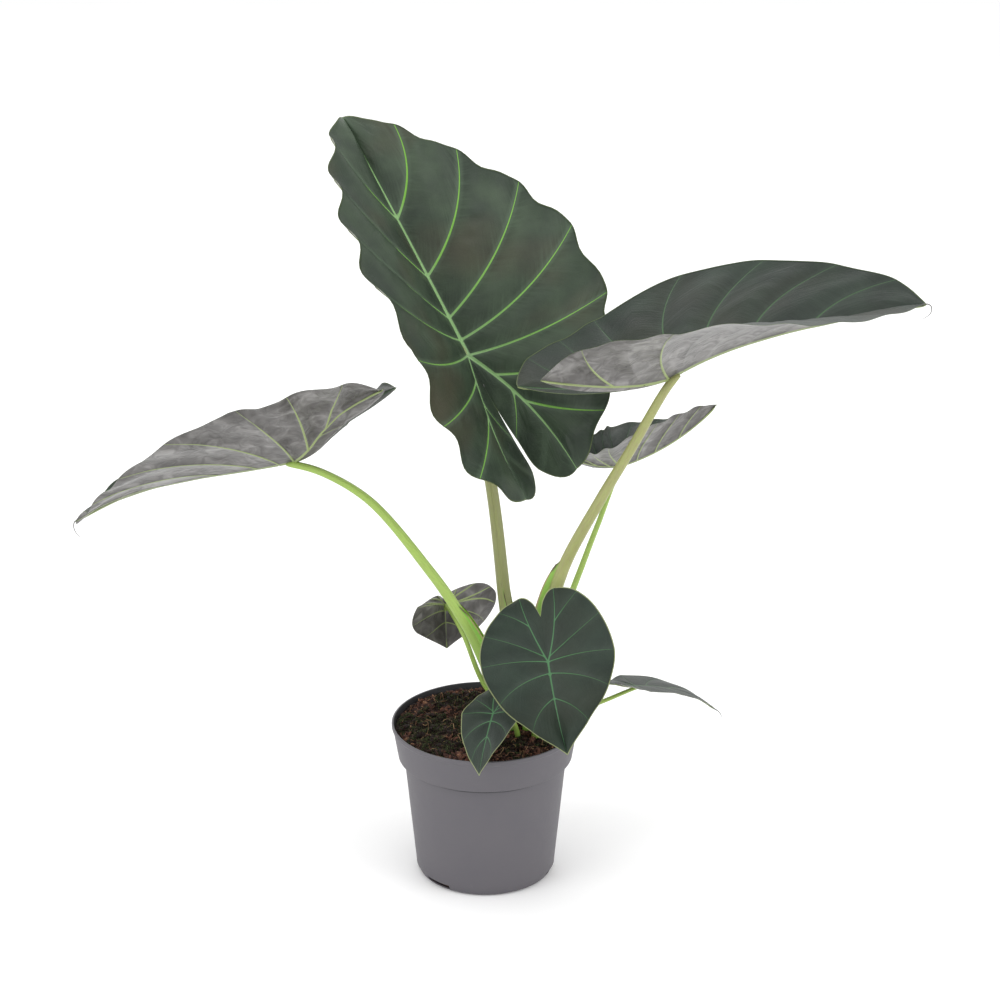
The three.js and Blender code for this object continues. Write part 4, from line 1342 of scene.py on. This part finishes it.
@dataclass
class Soil:
    """Potting mix: a lumpy bed under chips, crumbs, fibres and patches of moss."""

    level: float = 160.0
    lump: float = 1.9
    rim: float = 91.2
    chips: int = 6800
    chip_size: tuple[float, float, float] = (0.45, 0.8, 2.8)
    fibres: int = 260
    tufts: int = 5200

    def height(self, x: Array, y: Array) -> Array:
        """Height of the bed: three slow waves, lower by the wall, and finer lumps."""
        lumps = (np.sin(x * 0.19 + 1.3) * np.cos(y * 0.23 - 0.4)
                 + 0.6 * np.sin(x * 0.41 - y * 0.37) + 0.5 * np.cos(x * 0.11 + y * 0.53 + 2.1))
        to_rim = np.clip((np.hypot(x, y) - 78) / 14, 0, 1)
        fine = lattice_noise(x / 5 + 40, y / 5 + 40, 11) + 0.5 * lattice_noise(
            x / 2.4 + 40, y / 2.4 + 40, 12)
        return self.level + self.lump * lumps * (1 - 0.6 * to_rim) - 2.4 * to_rim + 0.9 * fine

    def moss_share(self, x: Array, y: Array) -> Array:
        """How mossy a place is, from 0 to 1: patches in the front left of the pot."""
        patches = lattice_noise(x / 16 + 9, y / 16 + 5, 21) + 0.45 * lattice_noise(
            x / 6 + 9, y / 6 + 5, 22)
        favour = 1.0 * np.exp(-(((x + 45) / 42) ** 2 + ((y + 15) / 60) ** 2))
        return smoothstep(0.15, 0.45, patches + favour)

    def bed(self) -> Skin:
        """The bed: a polar grid on top of a plug that follows the pot's inside."""
        angle = circle(150)[None]
        wall = [(65.0, 2.75), (68.2, 8.2), (79.2, 121.0), (85.6, 129.0)]
        radius = np.concatenate([[r for r, _ in wall], self.rim * (1 - np.arange(46) / 46)])
        x, y = radius[:, None] * np.cos(angle), radius[:, None] * np.sin(angle)
        z = self.height(x, y)
        z[:len(wall)] = np.array([h for _, h in wall])[:, None]
        middle = float(self.height(np.zeros(1), np.zeros(1))[0])
        tint = 0.16 + 0.1 * lattice_noise(x / 4, y / 4, 31)
        tint[:3] = 0.8
        return sweep(np.stack([x, y, z], -1), {"tint": tint},
                     np.array([[0, 0, wall[0][1]], [0, 0, middle]]))

    def scatter(self, count: int, rng: np.random.Generator) -> tuple[Array, Array]:
        """Random places over the bed, evenly spread by area."""
        radius = (self.rim - 2.5) * np.sqrt(rng.uniform(0, 1, count))
        angle = rng.uniform(0, 2 * np.pi, count)
        return radius * np.cos(angle), radius * np.sin(angle)

    def crumbs(self) -> Skin:
        """Chips and crumbs: copies of a rough 20-faced lump, stretched and turned."""
        rng = np.random.default_rng(7)
        g = (1 + math.sqrt(5)) / 2
        corners = unit(np.array([(-1, g, 0), (1, g, 0), (-1, -g, 0), (1, -g, 0), (0, -1, g),
                                 (0, 1, g), (0, -1, -g), (0, 1, -g), (g, 0, -1), (g, 0, 1),
                                 (-g, 0, -1), (-g, 0, 1)], float))
        sides = np.array([(0, 11, 5), (0, 5, 1), (0, 1, 7), (0, 7, 10), (0, 10, 11), (1, 5, 9),
                          (5, 11, 4), (11, 10, 2), (10, 7, 6), (7, 1, 8), (3, 9, 4), (3, 4, 2),
                          (3, 2, 6), (3, 6, 8), (3, 8, 9), (4, 9, 5), (2, 4, 11), (6, 2, 10),
                          (8, 6, 7), (9, 8, 1)])
        n = self.chips
        x, y = self.scatter(n, rng)
        least, spread, most = self.chip_size
        size = np.minimum(least + spread * rng.gamma(1.6, 0.6, n), most)
        stretch = np.stack([1 + rng.uniform(0.1, 1.3, n), rng.uniform(0.55, 1.0, n),
                            rng.uniform(0.4, 0.8, n)], 1)
        rough = 1 + rng.uniform(-0.3, 0.3, (n, 12, 1))
        lump = corners[None] * rough * (stretch * size[:, None])[:, None]
        yaw, tilt = rng.uniform(0, 2 * np.pi, n), rng.normal(0, 0.4, n)
        cy, sy, ct, st = np.cos(yaw), np.sin(yaw), np.cos(tilt), np.sin(tilt)
        o, i = np.zeros(n), np.ones(n)
        turn = np.array([[cy, -sy, o], [sy, cy, o], [o, o, i]])
        lean = np.array([[ct, o, st], [o, i, o], [-st, o, ct]])
        lump = np.einsum("ijn,jkn,nmk->nmi", turn, lean, lump)
        z = self.height(x, y) + size * rng.uniform(-0.1, 0.55, n)
        points = lump + np.stack([x, y, z], 1)[:, None]
        edge = np.hypot(points[..., 0], points[..., 1]).max(1)
        keep = edge < self.rim + 0.2
        points = points[keep]
        faces = (sides[None] + 12 * np.arange(len(points))[:, None, None]).reshape(-1, 3)
        rusty = np.clip(rng.normal(0.5, 0.2, n), 0.05, 1.0)[keep]
        damp = self.moss_share(x, y)[keep]
        tint = np.repeat(rusty * (1 - 0.7 * damp), 12)
        return Skin(points.reshape(-1, 3), faces, None, {"tint": tint})

    def strands(self) -> Skin:
        """Coir fibres: thin bent threads lying on the crumbs."""
        rng = np.random.default_rng(19)
        n, steps, sides = self.fibres, 7, 4
        x, y = self.scatter(n, rng)
        way, bend = rng.uniform(0, 2 * np.pi, n), rng.normal(0, 1.3, n)
        length = rng.uniform(5, 17, n)
        t = np.linspace(-0.5, 0.5, steps)[None]
        heading = way[:, None] + bend[:, None] * t
        step = (length / steps)[:, None]
        px, py = (
            start[:, None] + np.cumsum(turn(heading) * step, 1) - (length / 2 * turn(way))[:, None]
            for start, turn in ((x, np.cos), (y, np.sin))
        )
        arch = rng.uniform(0.2, 2.2, n)[:, None] * (1 - 4 * t**2)
        pz = self.height(px, py) + 0.9 + arch
        keep = np.hypot(px, py).max(1) < self.rim - 0.5
        centre = np.stack([px, py, pz], -1)[keep]
        n = len(centre)
        thick = rng.uniform(0.14, 0.4, n)[:, None] * (1 - 1.4 * np.abs(t) ** 2.5)
        points = hoops(centre, thick, sides, (0.0, 0.0, 1.0))
        index = np.arange(n * steps * sides).reshape(n, steps, sides)
        wrap = np.concatenate([index, index[:, :, :1]], 2)
        faces = np.concatenate([
            quads(wrap[:, :-1, :-1].ravel(), wrap[:, 1:, :-1].ravel(), wrap[:, 1:, 1:].ravel(),
                  wrap[:, :-1, 1:].ravel()),
            quads(*index[:, 0].T), quads(*index[:, -1, [0, 3, 2, 1]].T),
        ])
        tint = np.repeat(rng.uniform(0.45, 1.0, n), steps * sides)
        return Skin(points.reshape(-1, 3), faces, None, {"tint": tint})

    def moss(self) -> Skin:
        """Moss: short tapered leaflets that stand in tufts on the mossy patches."""
        rng = np.random.default_rng(29)
        x, y = self.scatter(self.tufts * 4, rng)
        keep = rng.uniform(0, 1, len(x)) < self.moss_share(x, y)
        x, y = x[keep][:self.tufts], y[keep][:self.tufts]
        n, leaflets = len(x), 5
        cx, cy = np.repeat(x, leaflets), np.repeat(y, leaflets)
        m = n * leaflets
        way, lean = rng.uniform(0, 2 * np.pi, m), rng.uniform(0.2, 1.15, m)
        length, wide = rng.uniform(1.2, 3.2, m), rng.uniform(0.2, 0.42, m)
        axis = np.stack([np.sin(lean) * np.cos(way), np.sin(lean) * np.sin(way), np.cos(lean)], 1)
        side = np.stack([-np.sin(way), np.cos(way), 0 * way], 1)
        face = np.cross(axis, side)
        root = np.stack([cx, cy, self.height(cx, cy) + 0.3], 1)
        side, face = side * wide[:, None], face * wide[:, None] * 0.8
        points = np.stack([root + side, root - side * 0.5 + face, root - side * 0.5 - face,
                           root + axis * length[:, None]], 1)
        inside = np.hypot(points[..., 0], points[..., 1]).max(1) < self.rim - 0.3
        points = points[inside]
        index = 4 * np.arange(len(points))[:, None]
        faces = np.concatenate([index + corner for corner in
                                ([0, 2, 1], [0, 1, 3], [1, 2, 3], [2, 0, 3])])
        tint = np.repeat(rng.uniform(0, 1, m)[inside], 4)
        return Skin(points.reshape(-1, 3), faces, None, {"tint": tint})

    def build(self, mix: bpy.types.Material, coir: bpy.types.Material,
              moss: bpy.types.Material) -> None:
        """Make the soil's pieces."""
        self.bed().join(self.crumbs()).piece("soil_bed", [mix], ("soil",), "soil")
        self.strands().piece("soil_fibres", [coir], (), "soil")
        self.moss().piece("soil_moss", [moss], (), "soil")


# ---------------------------------------------------------------- studio


@dataclass(frozen=True)
class Softbox:
    """A square studio light: where it is, its side and its power."""

    place: tuple[float, float, float]
    side: float
    watts: float


@dataclass
class Studio:
    """Pale floor, soft lights and the camera, in metres."""

    boxes: tuple[Softbox, ...] = (
        Softbox((-2.4, -1.6, 1.9), 1.8, 30.0),
        Softbox((2.5, -1.3, 1.5), 1.8, 26.0),
        Softbox((0.2, -0.4, 3.2), 2.4, 30.0),
        Softbox((0.0, 2.6, 1.8), 2.0, 14.0),
    )
    aim: tuple[float, float, float] = (0.0, 0.0, 0.35)
    camera_place: tuple[float, float, float] = (0.015, -2.8, 1.508)
    pitch: float = 21.5
    lens: float = 109.764
    floor_rings: tuple[float, ...] = (0.25, 1.0, 4.0, 14.0)
    floor_height: float = -0.0002

    def floor(self) -> None:
        """Lay the floor: a wide disc of matt pale paper with a faint tooth."""
        angle = circle(96)
        radius = np.array(self.floor_rings)[:, None]
        points = np.stack([radius * np.cos(angle), radius * np.sin(angle),
                           self.floor_height + 0 * radius * angle], -1).reshape(-1, 3)
        index = np.arange(len(points)).reshape(-1, len(angle))
        fan = np.stack([np.full(len(angle), index.size), index[0], np.roll(index[0], -1)], 1)
        faces = np.concatenate([grid_faces(index, closed=True)[:, ::-1], fan])
        mesh = bpy.data.meshes.new("floor")
        mesh.from_pydata([*points.tolist(), (0, 0, self.floor_height)], [], faces.tolist())
        material, add = new_material("matt_paper")
        place = add("TexCoord").outputs["Object"]
        tooth = add("TexNoise", {"Vector": place, "Scale": 4.0, "Detail": 2.0})
        tone = add("Mix", {0: tooth, 6: "#f7f7f7", 7: "#fafafa"}, data_type="RGBA")
        shader = add("BsdfPrincipled", {"Base Color": tone, "Roughness": 0.9,
                                        "Specular IOR Level": 0.1})
        add("OutputMaterial", {"Surface": shader})
        mesh.materials.append(material)
        show("floor", mesh)

    def lights(self) -> None:
        """Hang the softboxes and light the room around them."""
        for k, box in enumerate(self.boxes):
            lamp = bpy.data.lights.new(f"softbox_{k}", "AREA")
            lamp.shape, lamp.size, lamp.energy = "SQUARE", box.side, box.watts
            thing = show(lamp.name, lamp)
            thing.location = box.place
            way = np.array(self.aim) - np.array(box.place)
            flat = math.hypot(way[0], way[1])
            thing.rotation_euler = (math.atan2(flat, -way[2]), 0,
                                    math.atan2(way[1], way[0]) - math.pi / 2)
        world = bpy.data.worlds.new("white_room")
        world.use_nodes = True
        back = world.node_tree.nodes["Background"]
        back.inputs["Color"].default_value = linear("#ffffff")
        back.inputs["Strength"].default_value = 1.0
        bpy.context.scene.world = world
        bpy.context.scene.view_settings.view_transform = "Standard"

    def camera(self) -> None:
        """Stand the camera where the photograph's was."""
        data = bpy.data.cameras.new("camera")
        data.sensor_width, data.lens, data.clip_start = 36.0, self.lens, 0.05
        thing = show("camera", data)
        thing.location = self.camera_place
        thing.rotation_euler = (math.radians(90 - self.pitch), 0, 0)
        bpy.context.scene.camera = thing

    def build(self) -> None:
        """Set up the studio."""
        self.camera()
        self.floor()
        self.lights()


# ---------------------------------------------------------------- the plant


# The crown leaf's finish is a paler, greyer copy of the deep leaf finish: painted sheen for the
# leaf that faces the camera and the lights. Its veins and brown patches keep their own colours.
PAINTED_SHEEN_LEAF = UpperLeaf(name="waxy_leaf_painted_sheen", tissue="#3c4939", shade="#2c362c", bloom_and_sheen="#566754",
                 vein="#6fa53c", pale_vein="#86a678", rim="#55613f", warm="#3f3c2f",
                 streaks=0.3, glow=0.4)
DEEP = UpperLeaf(name="waxy_leaf_deep", tissue="#28332a", shade="#1e2620", bloom_and_sheen="#3d4a3f",
                 vein="#3b5438", pale_vein="#486344", rim="#4f5c3a", warm="#25291f",
                 streaks=0.2)
TENDER = UpperLeaf(name="waxy_leaf_tender", tissue="#2e3a31", shade="#242d27", bloom_and_sheen="#3f4b41",
                   vein="#40633f", pale_vein="#4a7550", rim="#8f976c", warm="#2c3228",
                   streaks=0.15)
UPPER_OF = {"crown": PAINTED_SHEEN_LEAF, "right": DEEP, "left": DEEP, "back": DEEP, "side": DEEP,
            "curled": TENDER, "heart": TENDER, "low": TENDER}
PALE_STALK = Stalk()
MAUVE_STALK = Stalk(name="mauve_stalk", top="#979c62", foot="#7a9c42", fleck="#8a7262",
                    sheath="#7ba543", edge="#9a7f66")
OLIVE_STALK = Stalk(name="olive_stalk", top="#868b58", foot="#86974c", fleck="#766a54",
                    sheath="#7d9a4c", edge="#4a3a30")
STALK_OF = {"crown": OLIVE_STALK, "right": MAUVE_STALK}
COIR_RAMP = ((0.0, "#0f0b09"), (1.0, "#9c7858"), (0.25, "#2c1b15"), (0.5, "#4c3027"),
             (0.75, "#6c4737"))
FIBRE_RAMP = ((0.0, "#38231a"), (1.0, "#a98a66"), (0.5, "#6a4733"))
MOSS_RAMP = ((0.0, "#161c10"), (1.0, "#626a3e"), (0.5, "#323a20"))


def main() -> None:
    """Build the pot, the soil, the plant and the studio."""
    logging.basicConfig(level=logging.INFO, format="%(name)s: %(message)s")
    Pot().build(PotPlastic().material())
    Soil().build(
        Compost(name="shredded_coir", ramp=COIR_RAMP).material(),
        Compost(name="coir_fibre", ramp=FIBRE_RAMP, roughness=0.75).material(),
        Compost(name="cushion_moss", ramp=MOSS_RAMP, roughness=0.8).material(),
    )
    uppers = {finish: finish.material() for finish in (PAINTED_SHEEN_LEAF, DEEP, TENDER)}
    under = UnderLeaf().material()
    stalks = {finish: finish.material() for finish in (PALE_STALK, MAUVE_STALK, OLIVE_STALK)}
    for leaf in LEAVES:
        small = {"rows_between_veins": 10, "cells": 26, "thickness": 0.55}
        blade = Blade(leaf, **(small if leaf.habit is Habit.YOUNG else {}))
        blade.build([uppers[UPPER_OF[leaf.name]], under])
        Petiole(leaf).build(stalks[STALK_OF.get(leaf.name, PALE_STALK)])
    Shoot().build(stalks[PALE_STALK])
    Studio().build()


if __name__ == "__main__":
    main()
